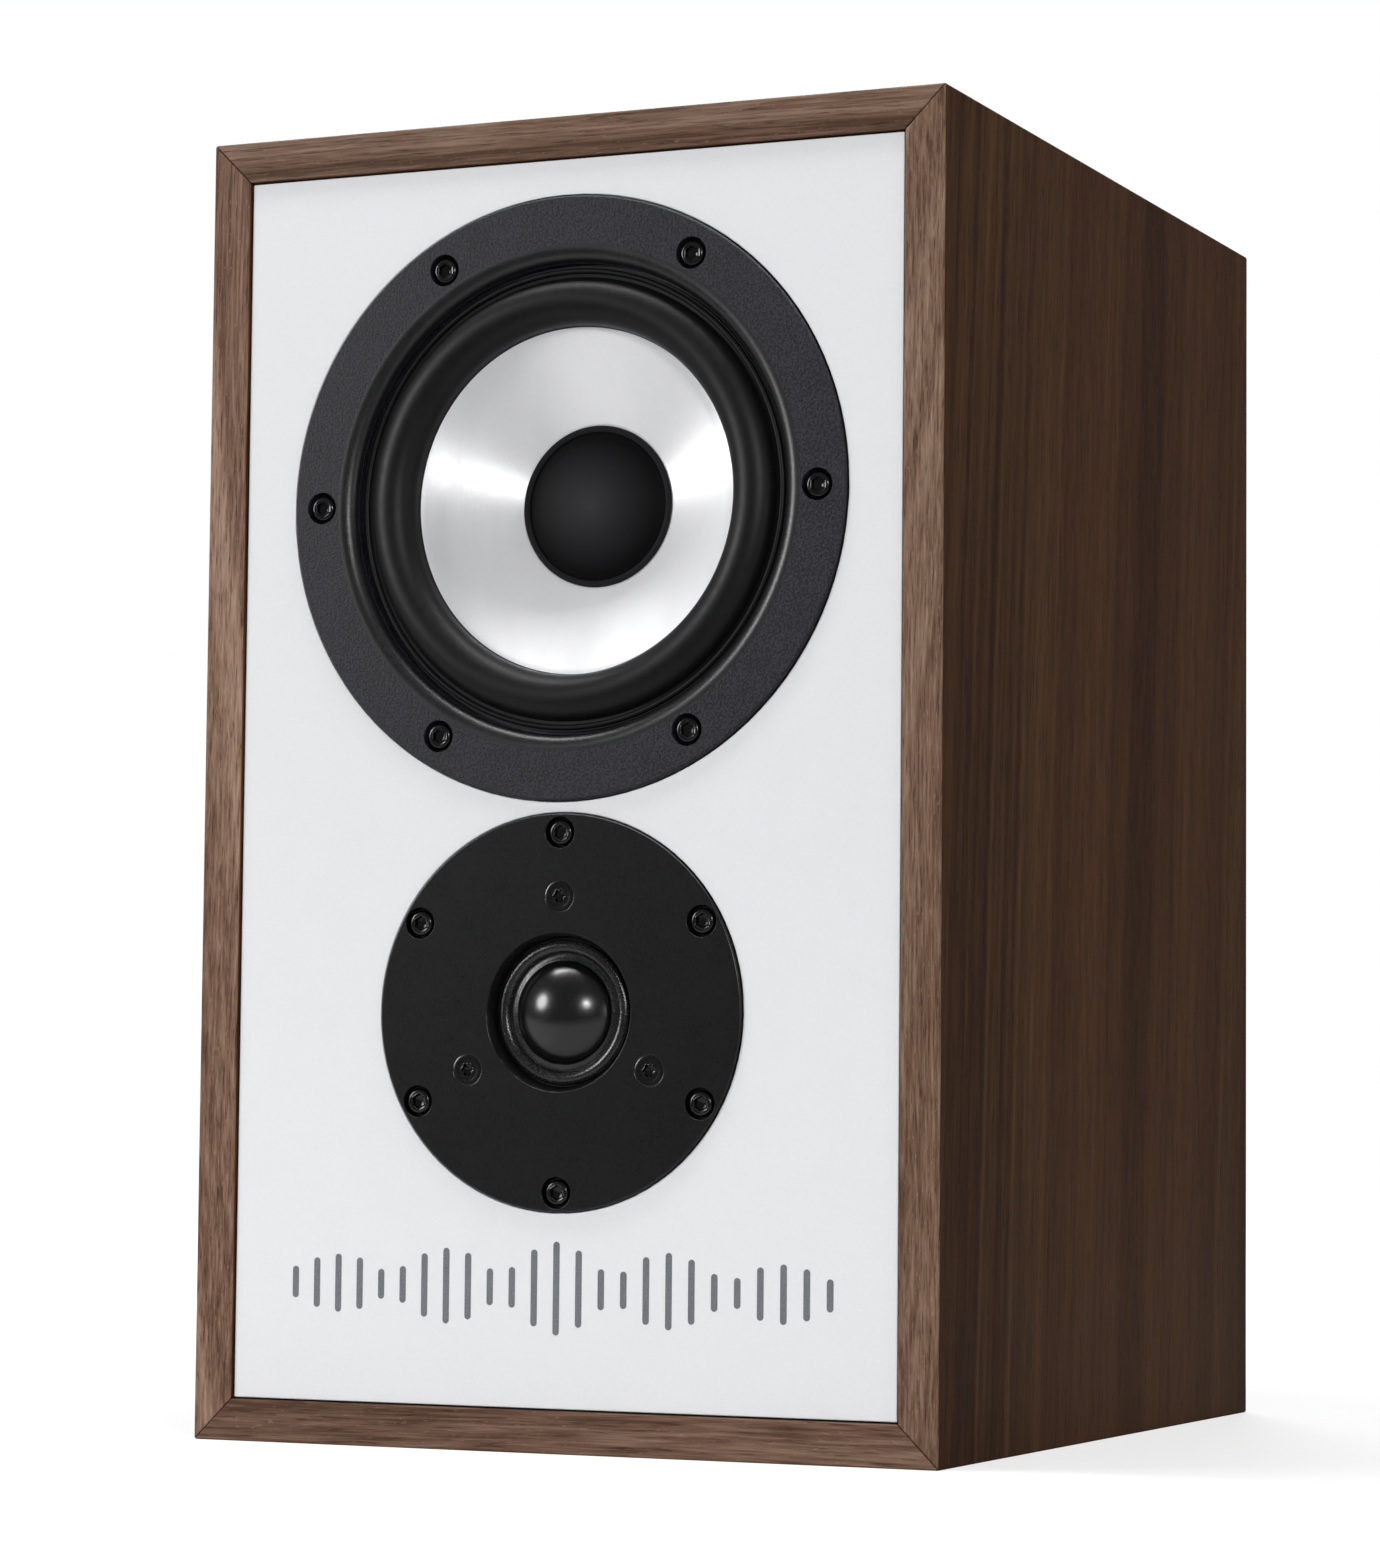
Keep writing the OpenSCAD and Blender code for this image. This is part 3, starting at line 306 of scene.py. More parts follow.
MATERIALS = {
    "white_lacquer": mottled("white_lacquer", (0.745, 0.748, 0.762), (0.775, 0.778, 0.792), 0.0008,
                             (0.42, 0.50), 0.00002, spread=(0.3, 0.7), Specular_IOR_Level=0.2),
    "black_paint": mottled("black_paint", grey(0.014), grey(0.030), 0.0006, (0.50, 0.66), 0.00006),
    "plywood": mottled("plywood", (0.42, 0.28, 0.16), (0.62, 0.45, 0.28), 0.002, (0.6, 0.75), 0.00004),
    "foam": mottled("foam", grey(0.012), grey(0.06), 0.0011, (0.9, 1.0), 0.0004),
    "powder_coat": mottled("powder_coat", (0.002, 0.002, 0.003), (0.021, 0.020, 0.030), 0.00065,
                           (0.44, 0.54), 0.00012, spread=(0.42, 0.60), cloud=0.1, Specular_IOR_Level=0.30),
    # The flange's powder coat, glossier and darker on its rounded inner edge; the darkening is painted
    # shade where the edge turns down into the recess.
    "bead_coat": mottled("bead_coat", cool(0.003), cool(0.010), 0.00050, (0.30, 0.38), 0.00003,
                         spread=(0.38, 0.62), Specular_IOR_Level=0.45),
    "gasket": mottled("gasket", grey(0.006), grey(0.014), 0.0008, (0.8, 0.95), 0.0001),
    "surround_rubber": mottled("surround_rubber", cool(0.0028), cool(0.0045), 0.0016, (0.42, 0.49),
                               0.000012, Specular_IOR_Level=0.22),
    "cone_metal": brushed("cone_metal", (0.965, 0.965, 0.98), "Z", (0.38, 0.48), relief=0.000001,
                          contrast=0.05, anisotropy=0.85, metallic=0.32, lean=(0, 0, 0.33)),
    "former_film": mottled("former_film", (0.30, 0.17, 0.05), (0.42, 0.26, 0.10), 0.001, (0.3, 0.4),
                           0.00001),
    "copper_wire": mottled("copper_wire", (0.42, 0.14, 0.05), (0.70, 0.28, 0.11), 0.0005, (0.25, 0.4),
                           0.00002, Metallic=1.0),
    "spider_cloth": mottled("spider_cloth", (0.36, 0.21, 0.06), (0.56, 0.38, 0.15), 0.0006, (0.7, 0.9),
                            0.0001),
    "steel": brushed("steel", (0.50, 0.50, 0.51), "X", (0.3, 0.45)),
    "ferrite": mottled("ferrite", grey(0.018), grey(0.04), 0.0012, (0.5, 0.7), 0.00004),
    "strip_board": mottled("strip_board", (0.16, 0.085, 0.035), (0.27, 0.15, 0.07), 0.001, (0.45, 0.6),
                           0.00002),
    "black_screw": mottled("black_screw", grey(0.0008), grey(0.0022), 0.0004, (0.17, 0.23), 0.000002,
                           Specular_IOR_Level=0.44),
    "faceplate_coat": mottled("faceplate_coat", cool(0.0022), cool(0.0042), 0.0006, (0.27, 0.31),
                              0.000005, Specular_IOR_Level=0.34),
    "dome_coat": mottled("dome_coat", grey(0.0008), grey(0.0016), 0.0009, (0.21, 0.26), 0.000003,
                         Specular_IOR_Level=0.62),
    "surround_cloth": mottled("surround_cloth", grey(0.003), grey(0.036), 0.00032, (0.16, 0.28), 0.00005,
                              spread=(0.45, 0.7)),
    "black_plastic": mottled("black_plastic", grey(0.010), grey(0.018), 0.0005, (0.42, 0.55), 0.00003),
    "red_plastic": mottled("red_plastic", (0.30, 0.006, 0.008), (0.42, 0.012, 0.014), 0.002,
                           (0.12, 0.22), 0.000008),
    "black_knob_plastic": mottled("black_knob_plastic", grey(0.006), grey(0.012), 0.002, (0.14, 0.24),
                                  0.000008),
    "gold_plate": brushed("gold_plate", (0.95, 0.66, 0.27), "X", (0.12, 0.24), relief=0.000002),
    "circuit_board": mottled("circuit_board", (0.010, 0.075, 0.026), (0.020, 0.12, 0.045), 0.003,
                             (0.3, 0.42), 0.00002),
    "capacitor_film": mottled("capacitor_film", (0.46, 0.36, 0.06), (0.60, 0.50, 0.12), 0.002,
                              (0.28, 0.4), 0.00002),
    "resistor_ceramic": mottled("resistor_ceramic", (0.62, 0.60, 0.54), (0.76, 0.74, 0.69), 0.0009,
                                (0.7, 0.85), 0.00005),
    "red_wire": mottled("red_wire", (0.30, 0.010, 0.010), (0.42, 0.020, 0.018), 0.002, (0.35, 0.45),
                        0.00001),
    "black_wire": mottled("black_wire", grey(0.010), grey(0.018), 0.002, (0.35, 0.45), 0.00001),
}
# The dust cap's lighter centre is a painted highlight and its lighter rim a painted sheen.
MATERIALS["cap_coat"] = painted_highlight_black("cap_coat", cool(0.038), cool(0.0035), cool(0.013), WOOFER, 20.2)
INK = mottled("print_ink", (0.105, 0.112, 0.122), (0.175, 0.185, 0.198), 0.0005, (0.4, 0.55), 0.00001)

# The right, top and bottom panels' walnut is darkened by a factor: painted shade.
WALNUT = {
    "left_side_panel": walnut("walnut_left", "Z", (0.150, 0.030, 0.0), 0.06),
    "right_side_panel": walnut("walnut_right", "Z", (-0.148, -0.020, 0.4), 0.06, painted_shade_factor=0.92),
    "top_panel": walnut("walnut_top", "X", (0.400, 0.015, 0.21), 0.05, painted_shade_factor=0.76),
    "bottom_panel": walnut("walnut_bottom", "X", (-0.045, 0.020, 0.11), 0.05, painted_shade_factor=0.84),
}


# ---------------------------------------------------------------- CAD nodes keep their shape

EDGES = {  # how far each node's sharp edges are softened, in mm
    "left_side_panel": 0.5, "right_side_panel": 0.5, "top_panel": 0.5, "bottom_panel": 0.5,
    "front_baffle": 0.35, "woofer_frame": 0.25, "tweeter_faceplate": 0.2,
    "terminal_screws": 0.15, "port_tube": 0.3,
    "positive_knob": 0.25, "negative_knob": 0.25, "positive_insulator": 0.3,
    "negative_insulator": 0.3, "positive_washer": 0.2, "negative_washer": 0.2,
    "crossover_capacitors": 1.2, "crossover_resistor": 0.6, "woofer_magnet": 0.8,
    "tweeter_magnet": 0.8, "woofer_pole_piece": 0.5, "tweeter_pole_piece": 0.5,
    "tweeter_rear_chamber": 1.0, "window_brace": 0.5,
}
SLOT_OF = {s["node"]: s["material_slot"] for s in frame["record"]["subparts"]}


def soften(piece, width):
    """Welds the mesh's seams in a modifier and rounds its sharp edges."""
    weld = piece.modifiers.new("weld", "WELD")
    weld.merge_threshold = 0.002 * MM
    edges = piece.modifiers.new("edges", "BEVEL")
    edges.width = width * MM
    edges.segments = 2
    edges.limit_method = "ANGLE"
    edges.angle_limit = math.radians(32)
    edges.harden_normals = True


def finish_nodes():
    for name, piece in NODES.items():
        material = WALNUT.get(name) or MATERIALS[SLOT_OF[name]]
        piece.data.materials.clear()
        piece.data.materials.append(material)
        if name in EDGES:
            soften(piece, EDGES[name])


# ---------------------------------------------------------------- meshes made here

def mesh_piece(name, points, faces, material, crease=38):
    """A smooth-shaded mesh; edges sharper than crease degrees stay sharp."""
    mesh = bpy.data.meshes.new(name)
    mesh.from_pydata([tuple(p) for p in points], [], faces)
    work = bmesh.new()
    work.from_mesh(mesh)
    bmesh.ops.remove_doubles(work, verts=work.verts, dist=0.0001 * MM)
    bmesh.ops.recalc_face_normals(work, faces=work.faces)
    work.to_mesh(mesh)
    work.free()
    mesh.shade_smooth()
    mesh.set_sharp_from_angle(angle=math.radians(crease))
    piece = bpy.data.objects.new(name, mesh)
    bpy.context.scene.collection.objects.link(piece)
    mesh.materials.append(material)
    return piece


def stand_for(piece, slot, *nodes):
    """Hides the CAD nodes, so that the piece is shown in their place; slot is not used."""
    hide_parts(*nodes)


def turned(outline, steps, place):
    """Points and faces of a closed outline turned about an axis; place maps (r, h, cos, sin)."""
    ring = len(outline)
    turns = [(math.cos(a), math.sin(a)) for a in (2 * math.pi * i / steps for i in range(steps))]
    points = [place(r, h, c, s) for c, s in turns for r, h in outline]
    faces = [
        (i * ring + k, i * ring + (k + 1) % ring,
         (i + 1) % steps * ring + (k + 1) % ring, (i + 1) % steps * ring + k)
        for i in range(steps) for k in range(ring)
    ]
    return points, faces


def lathe(name, centre, outline, material, steps=192):
    """Turns a closed outline of (radius, depth) in mm about a driver's axis."""
    points, faces = turned(outline, steps,
                           lambda r, h, c, s: centre + Vector((r * c, h, r * s)) * MM)
    return mesh_piece(name, points, faces, material)


def arc(centre, radii, start, end, count):
    """Points of (radius, depth) on an ellipse's arc; angles run from +radius towards the front."""
    return [
        (centre[0] + radii[0] * math.cos(a), centre[1] - radii[1] * math.sin(a))
        for a in (math.radians(start + (end - start) * i / count) for i in range(count + 1))
    ]


def ease(t):
    return t * t * (3 - 2 * t)


def tie(piece):
    """Bakes the piece's transform into its mesh."""
    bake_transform(piece)


def stretch(piece):
    """Bakes a ring's transform into its mesh, as tie does."""
    tie(piece)


# ---------------------------------------------------------------- woofer

CONE_R = radius("woofer_cone")
CONE_EDGE = depths("woofer_cone")[0]
CONE_T = 0.7
FORMER_R = radius("woofer_former")
CONE_SLOPE = (depths("woofer_cone")[1] - CONE_T - CONE_EDGE) / (CONE_R - FORMER_R)


def cone_depth(r):
    return CONE_EDGE + (CONE_R - r) * CONE_SLOPE


def woofer_bead():
    """The flange's inner edge, rounded over from its face down to the surround."""
    ring_r = radius("woofer_trim_ring")
    bend_r, wall_r = 4.1, 64.3
    proud = 0.010                # how far the bead stands over the flange's face
    wall_back = depths("woofer_surround")[0] + 4.4
    last = math.degrees(math.asin((ring_r - wall_r) / bend_r))
    bend = arc((ring_r, bend_r), (bend_r, bend_r), 90, 90 + last, 26)
    outline = [(ring_r + 0.7, -0.006), (ring_r + 0.25, -proud)] + [(r, d - proud) for r, d in bend]
    outline += [(wall_r, wall_back), (wall_r + 0.5, wall_back), (wall_r + 0.5, bend_r),
                (ring_r - 0.5, 1.5), (ring_r, 0.1)]
    piece = lathe("woofer_bead", WOOFER, outline, MATERIALS["bead_coat"], 256)
    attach(piece, "cabinet")
    stand_for(piece, "bead_coat", "woofer_trim_ring")


def woofer_roll():
    """The rubber surround: a ribbed lip, a half roll and a skirt behind the cone's edge."""
    lip_r = radius("woofer_surround")
    lip = 4.7                    # depth of the flat lip
    centre, roll_r, skin = (54.4, 6.4), 6.1, 0.9
    skirt_r = 43.6
    rib = arc((lip_r - 1.2, lip), (0.8, 0.75), 0, 180, 10)
    front = [(lip_r, lip)] + rib + [(lip_r - 2.6, lip + 0.1)]
    front += arc(centre, (roll_r + skin / 2,) * 2, 14, 180, 44)
    foot_r = front[-1][0]
    front += [(foot_r - 0.1, cone_depth(foot_r) + 0.4), (foot_r - 0.8, cone_depth(foot_r) + CONE_T + 0.1),
              (skirt_r, cone_depth(skirt_r) + CONE_T + 0.1)]
    back = [(skirt_r, cone_depth(skirt_r) + CONE_T + skin),
            (foot_r - 0.4, cone_depth(foot_r) + CONE_T + skin)]
    back += arc(centre, (roll_r - skin / 2,) * 2, 180, 14, 44)
    back += [(lip_r - 3.2, lip + skin), (lip_r, lip + skin)]
    piece = lathe("woofer_roll", WOOFER, front + back, MATERIALS["surround_rubber"], 256)
    stand_for(piece, "surround_rubber", "woofer_surround")
    stretch(piece)


def woofer_diaphragm():
    """The spun metal cone, with a hem turned back at its rim."""
    rim = CONE_R + 0.3
    steps = 28
    face = [
        (r, cone_depth(r))
        for r in (rim - 0.3 - (rim - 0.3 - FORMER_R) * i / steps for i in range(steps + 1))
    ]
    hem = [(rim, cone_depth(rim) + 0.35), (rim - 0.05, cone_depth(rim) + 0.1)]
    behind = [(FORMER_R, cone_depth(FORMER_R) + CONE_T), (rim - 0.1, cone_depth(rim) + CONE_T)]
    piece = lathe("woofer_diaphragm", WOOFER, hem + face + behind, MATERIALS["cone_metal"], 256)
    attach(piece, "woofer_cone")
    stand_for(piece, "cone_metal", "woofer_cone")


def woofer_cap():
    """The dust cap: a flat rim glued to the cone, a groove, and a low dome."""
    cap_r = radius("woofer_dust_cap")
    apex, base = depths("woofer_dust_cap")
    rim_front = cone_depth(cap_r) - 0.7
    rim_in, dome_r = cap_r - 1.7, cap_r - 2.1
    rise = rim_front + 0.5 - apex
    curve_r = (dome_r ** 2 + rise ** 2) / (2 * rise)
    dome = [
        (r, apex + curve_r - math.sqrt(curve_r ** 2 - r ** 2))
        for r in (dome_r * (1 - i / 26) for i in range(27))
    ]
    rim = [(cap_r, cone_depth(cap_r)), (cap_r, rim_front + 0.25), (cap_r - 0.1, rim_front + 0.07),
           (cap_r - 0.3, rim_front), (rim_in + 0.2, rim_front), (rim_in, rim_front + 0.12),
           (rim_in - 0.15, rim_front + 0.6)]
    behind = [(0, apex + 0.7), (dome_r, base - 0.4), (cap_r - 1.4, cone_depth(cap_r - 1.4))]
    piece = lathe("woofer_cap", WOOFER, rim + dome + behind, MATERIALS["cap_coat"], 192)
    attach(piece, "woofer_cone")
    stand_for(piece, "cap_coat", "woofer_dust_cap")


def woofer_centring():
    """The corrugated spider between the frame's ledge and the voice coil's former."""
    outer = radius("woofer_spider")
    low, high = depths("woofer_spider")
    mid, cloth = (low + high) / 2, 0.5
    wave_in, wave_out, waves, count = 19.5, outer - 5, 5, 120
    sheet = [(FORMER_R, mid)] + [
        (wave_in + (wave_out - wave_in) * i / count,
         mid - 1.25 * math.sin(2 * math.pi * waves * i / count))
        for i in range(count + 1)
    ] + [(outer, mid)]
    outline = [(r, d - cloth / 2) for r, d in sheet] + [(r, d + cloth / 2) for r, d in reversed(sheet)]
    piece = lathe("woofer_centring", WOOFER, outline, MATERIALS["spider_cloth"], 144)
    stand_for(piece, "spider_cloth", "woofer_spider")
    stretch(piece)


def tinsel_leads():
    """The braided leads, slack between the moving cone and the terminal strip on the frame."""
    low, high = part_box("woofer_tinsel_leads")
    thick, sides, steps = 0.5, 16, 90
    inner = 27.0                 # where the leads leave the cone, as a radius
    outer = (WOOFER.z - low.z) / MM
    strip = (middle("woofer_terminals").y - FRONT) / MM
    start = cone_depth(inner) + CONE_T + 0.9
    x = (high.x - low.x) / 2 / MM - thick
    route = [(inner, start), (31, start + 4), (37, 28.5), (43, 27.5), (47, 25.5), (outer - 2, strip),
             (outer - 1, strip), (outer, strip)]

    def along(t):
        """A point on the smooth curve through the route."""
        at = min(len(route) - 2, int(t))
        a, b, c, d = (route[min(max(at + k, 0), len(route) - 1)] for k in (-1, 0, 1, 2))
        u = t - at
        return [0.5 * (2 * q + (r - p) * u + (2 * p - 5 * q + 4 * r - w) * u * u
                       + (3 * q - p - 3 * r + w) * u ** 3) for p, q, r, w in zip(a, b, c, d)]

    line = [along((len(route) - 1) * i / steps) for i in range(steps + 1)]
    for side, label in ((-1, "positive"), (1, "negative")):
        points, weights = [], []
        for i, (r, d) in enumerate(line):
            back, ahead = line[max(i - 1, 0)], line[min(i + 1, steps)]
            slope = math.atan2(ahead[1] - back[1], ahead[0] - back[0])
            for k in range(sides):
                a = 2 * math.pi * k / sides
                braid = 0.86 + 0.14 * abs(math.sin(4 * a + 1.3 * i) * math.sin(4 * a - 1.3 * i))
                out, up = thick * braid * math.cos(a), thick * braid * math.sin(a)
                points.append(WOOFER + Vector((
                    side * x + out, d + up * math.cos(slope), -(r - up * math.sin(slope)))) * MM)
                weights.append(ease(1 - i / steps))
        faces = [
            (i * sides + k, i * sides + (k + 1) % sides,
             (i + 1) * sides + (k + 1) % sides, (i + 1) * sides + k)
            for i in range(steps) for k in range(sides)
        ]
        last = steps * sides
        faces += [tuple(range(sides)), tuple(range(last + sides - 1, last - 1, -1))]
        piece = mesh_piece(label + "_tinsel_lead", points, faces, MATERIALS["copper_wire"], 60)
        stand_for(piece, "copper_wire", "woofer_tinsel_leads")
        tie(piece)


# ---------------------------------------------------------------- tweeter

def tweeter_cap():
    """The glossy dome: a cap that turns down at its edge into a short skirt on the surround."""
    dome_r = radius("tweeter_dome")
    apex, rim = depths("tweeter_dome")
    skirt, turn, shell = 1.3, 0.35, 0.35
    rise = rim - skirt - apex
    cap_r = dome_r - turn
    curve_r = (cap_r ** 2 + rise ** 2) / (2 * rise)
    half = math.degrees(math.asin(cap_r / curve_r))
    centre = (0, apex + curve_r)
    outside = [(dome_r, rim), (dome_r, rim - skirt + 0.8), (dome_r - 0.1, rim - skirt + 0.35)]
    outside += arc(centre, (curve_r,) * 2, 90 - half, 90, 40)
    inside = arc(centre, (curve_r - shell,) * 2, 90, 90 - half, 20) + [(dome_r - 0.4, rim)]
    piece = lathe("tweeter_cap", TWEETER, outside + inside, MATERIALS["dome_coat"], 192)
    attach(piece, "tweeter_dome")
    stand_for(piece, "dome_coat", "tweeter_dome")


def tweeter_roll():
    """The coated cloth surround: a flat ring, a half roll and a collar around the dome."""
    outer = radius("tweeter_surround")
    crest, back = depths("tweeter_surround")
    cloth, dome_r = 0.4, radius("tweeter_dome")
    centre_r, roll_r = 17.8, back - crest - 0.2
    flat = back - cloth
    foot = math.degrees(math.asin(cloth / roll_r))
    front = [(outer, flat)] + arc((centre_r, back), (roll_r,) * 2, foot, 180 - foot, 28)
    front += [(dome_r + 0.9, flat), (dome_r + 0.7, flat - 0.15), (dome_r + 0.3, flat - 0.2),
              (dome_r + 0.05, flat)]
    behind = [(dome_r + 0.05, back)] + arc((centre_r, back), (roll_r - cloth,) * 2, 180, 0, 20)
    piece = lathe("tweeter_roll", TWEETER, front + behind + [(outer, back)],
                  MATERIALS["surround_cloth"], 192)
    stand_for(piece, "surround_cloth", "tweeter_surround")
    stretch(piece)


# ---------------------------------------------------------------- screws

def screw_shell(profile, socket, sides, lobe, floor):
    """Points and faces of a screw: rings of (radius, depth) from its tip to its face, then a socket.

    The socket's outline is a polygon of `sides` corners at radius `socket`, or a star if lobe isn't 0.
    It is edged by a low ridge and is `floor` deep.
    """
    steps = 48

    def wall(angle):
        if lobe:
            return socket * (1 - lobe / 2 + lobe / 2 * math.cos(sides * angle))
        part = math.pi / sides
        return socket * math.cos(part) / math.cos((angle + part) % (2 * part) - part)

    turns = [2 * math.pi * i / steps for i in range(steps)]
    rings = [[(r, d)] * steps for r, d in profile]
    face = profile[-1][1]
    ridge = ((0.42, 0.14), (0.30, 0.10), (0.20, -0.02), (0.10, -0.02), (0.0, 0.14))
    for grow, depth in ridge + ((0.0, floor),):
        rings.append([(wall(a) + grow, face + depth) for a in turns])
    rings.append([(0.02, face + floor + 0.5)] * steps)
    points = [(r * math.cos(a), d, r * math.sin(a)) for ring in rings for (r, d), a in zip(ring, turns)]
    faces = [
        (j * steps + i, j * steps + (i + 1) % steps,
         (j + 1) * steps + (i + 1) % steps, (j + 1) * steps + i)
        for j in range(len(rings) - 1) for i in range(steps)
    ]
    last = (len(rings) - 1) * steps
    faces += [tuple(range(steps)), tuple(range(last + steps - 1, last - 1, -1))]
    return points, faces


def screw_group(name, node, body, centre, count, circle, first, shell):
    """The same screw on a circle around a driver's axis, standing for a CAD node."""
    points, faces = [], []
    for i in range(count):
        a = math.radians(first + 360 * i / count)
        at = centre + Vector((circle * math.cos(a), 0, circle * math.sin(a))) * MM
        start = len(points)
        points += [at + Vector(p) * MM for p in shell[0]]
        faces += [tuple(start + k for k in face) for face in shell[1]]
    piece = mesh_piece(name, points, faces, MATERIALS["black_screw"], 30)
    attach(piece, body)
    stand_for(piece, "black_screw", node)


def cap_screw(head_r, head_h, shank_r, length, sink):
    """A socket-head screw with a rounded shoulder and a ring turned into its face."""
    shoulder = arc((head_r - 1.0, sink + 0.95), (1.0, 0.95), 0, 90, 8)
    profile = [(0.4, length), (shank_r, length - 1.5), (shank_r, sink + head_h),
               (head_r - 0.1, sink + head_h), (head_r, sink + head_h - 0.1)]
    profile += shoulder
    return screw_shell(profile, 0.54 * head_r, 6, 0, 1.7)


def driver_screws():
    low, high = depths("woofer_screws")
    woofer_circle = size("woofer_screws").x / 2 / MM - 3.5
    screw_group("woofer_cap_screws", "woofer_screws", "cabinet", WOOFER, 6, woofer_circle, 0,
                cap_screw(3.5, 2.8, 2.0, high, low))
    low, high = depths("tweeter_screws")
    tweeter_circle = size("tweeter_screws").z / 2 / MM - 3.45
    screw_group("tweeter_cap_screws", "tweeter_screws", "cabinet", TWEETER, 6, tweeter_circle, 30,
                cap_screw(3.45, 2.5, 1.9, high, low))
    low, high = depths("tweeter_motor_screws")
    motor_circle = (size("tweeter_motor_screws").z / MM - 2 * 4.25) / 1.5
    countersunk = [(0.3, high), (1.9, high - 1), (1.9, low + 2.35), (4.2, low + 0.12),
                   (4.25, low + 0.05), (4.15, low), (3.4, low + 0.02), (2.9, low + 0.06)]
    screw_group("tweeter_flat_screws", "tweeter_motor_screws", "cabinet", TWEETER, 3, motor_circle, 90,
                screw_shell(countersunk, 1.75, 6, 0.22, 1.5))


# ---------------------------------------------------------------- terminals and inside

def threaded_post(name, node):
    """A binding post: a plain shank and collar, and a threaded stud bored for a plug."""
    low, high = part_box(node)
    x, z = (low.x + high.x) / 2 / MM, (low.z + high.z) / 2 / MM
    start, end = low.y / MM, high.y / MM
    stud = end - 22.5            # where the thread begins
    collar = stud - 1.5
    collar_r = (high.x - low.x) / 2 / MM
    crest, root, pitch, steps = 2.98, 2.62, 0.8, 40
    socket, socket_depth, shank_r = 2.0, 16, 2.0
    row = 0.1                    # spacing of the thread's rows of points
    rows = [("plain", r, y) for r, y in (
        (0.05, start), (shank_r, start), (shank_r, collar), (collar_r - 0.3, collar),
        (collar_r, collar + 0.3), (collar_r, stud - 0.3), (collar_r - 0.3, stud), (root, stud))]
    count = int((end - stud - 1.2) / row)
    rows += [("thread", 0, stud + 0.4 + row * i) for i in range(count + 1)]
    rows += [("plain", r, y) for r, y in (
        (root, end - 0.5), (root - 0.25, end), (socket + 0.1, end), (socket, end - 0.1),
        (socket, end - socket_depth), (0.05, end - socket_depth - 0.6))]
    points, faces = [], []
    for kind, r, y in rows:
        for k in range(steps):
            a = 2 * math.pi * k / steps
            here = r
            if kind == "thread":
                turn = ((y - stud) / pitch - k / steps) % 1.0
                fade = max(0.0, min(1.0, y - stud, end - y))
                here = root + (crest - root) * (1 - abs(2 * turn - 1)) * fade
            points.append(Vector((x + here * math.cos(a), y, z + here * math.sin(a))) * MM)
    for j in range(len(rows) - 1):
        for k in range(steps):
            n = (k + 1) % steps
            faces.append((j * steps + k, j * steps + n, (j + 1) * steps + n, (j + 1) * steps + k))
    last = (len(rows) - 1) * steps
    faces += [tuple(range(steps)), tuple(range(last + steps - 1, last - 1, -1))]
    piece = mesh_piece(name, points, faces, MATERIALS["gold_plate"], 50)
    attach(piece, "cabinet")
    stand_for(piece, "gold_plate", node)


def upright(name, node, outline, material, steps=96):
    """Turns a closed outline of (radius, height) in mm about the upright axis of a CAD node."""
    low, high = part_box(node)
    foot = Vector(((low.x + high.x) / 2, (low.y + high.y) / 2, low.z))
    points, faces = turned(outline, steps, lambda r, h, c, s: foot + Vector((r * c, r * s, h)) * MM)
    piece = mesh_piece(name, points, faces, material)
    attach(piece, "cabinet")
    return piece


def inductor(node, label):
    """An air-cored coil: a bobbin with two cheeks, and enamelled wire laid turn by turn."""
    r, height = radius(node), size(node).z / MM
    cheek, bore, wire = 2.0, 0.4 * r, 1.1
    bobbin = [
        (bore, 0), (r - 0.3, 0), (r, 0.3), (r, cheek - 0.3), (r - 0.3, cheek), (bore + 2, cheek),
        (bore + 2, height - cheek), (r - 0.3, height - cheek), (r, height - cheek + 0.3),
        (r, height - 0.3), (r - 0.3, height), (bore, height),
    ]
    upright(label + "_bobbin", node, bobbin, MATERIALS["black_plastic"])
    turns = int((height - 2 * cheek - 0.2) / wire)
    base = (height - turns * wire) / 2
    outer = r - 1.5 - wire / 2
    wound = [(bore + 2.1, base)]
    for i in range(turns):
        for k in range(7):
            a = math.radians(-90 + 180 * k / 6)
            wound.append((outer + wire / 2 * math.cos(a), base + wire * (i + 0.5) + wire / 2 * math.sin(a)))
    wound.append((bore + 2.1, height - base))
    stand_for(upright(label + "_winding", node, wound, MATERIALS["copper_wire"]), "copper_wire", node)


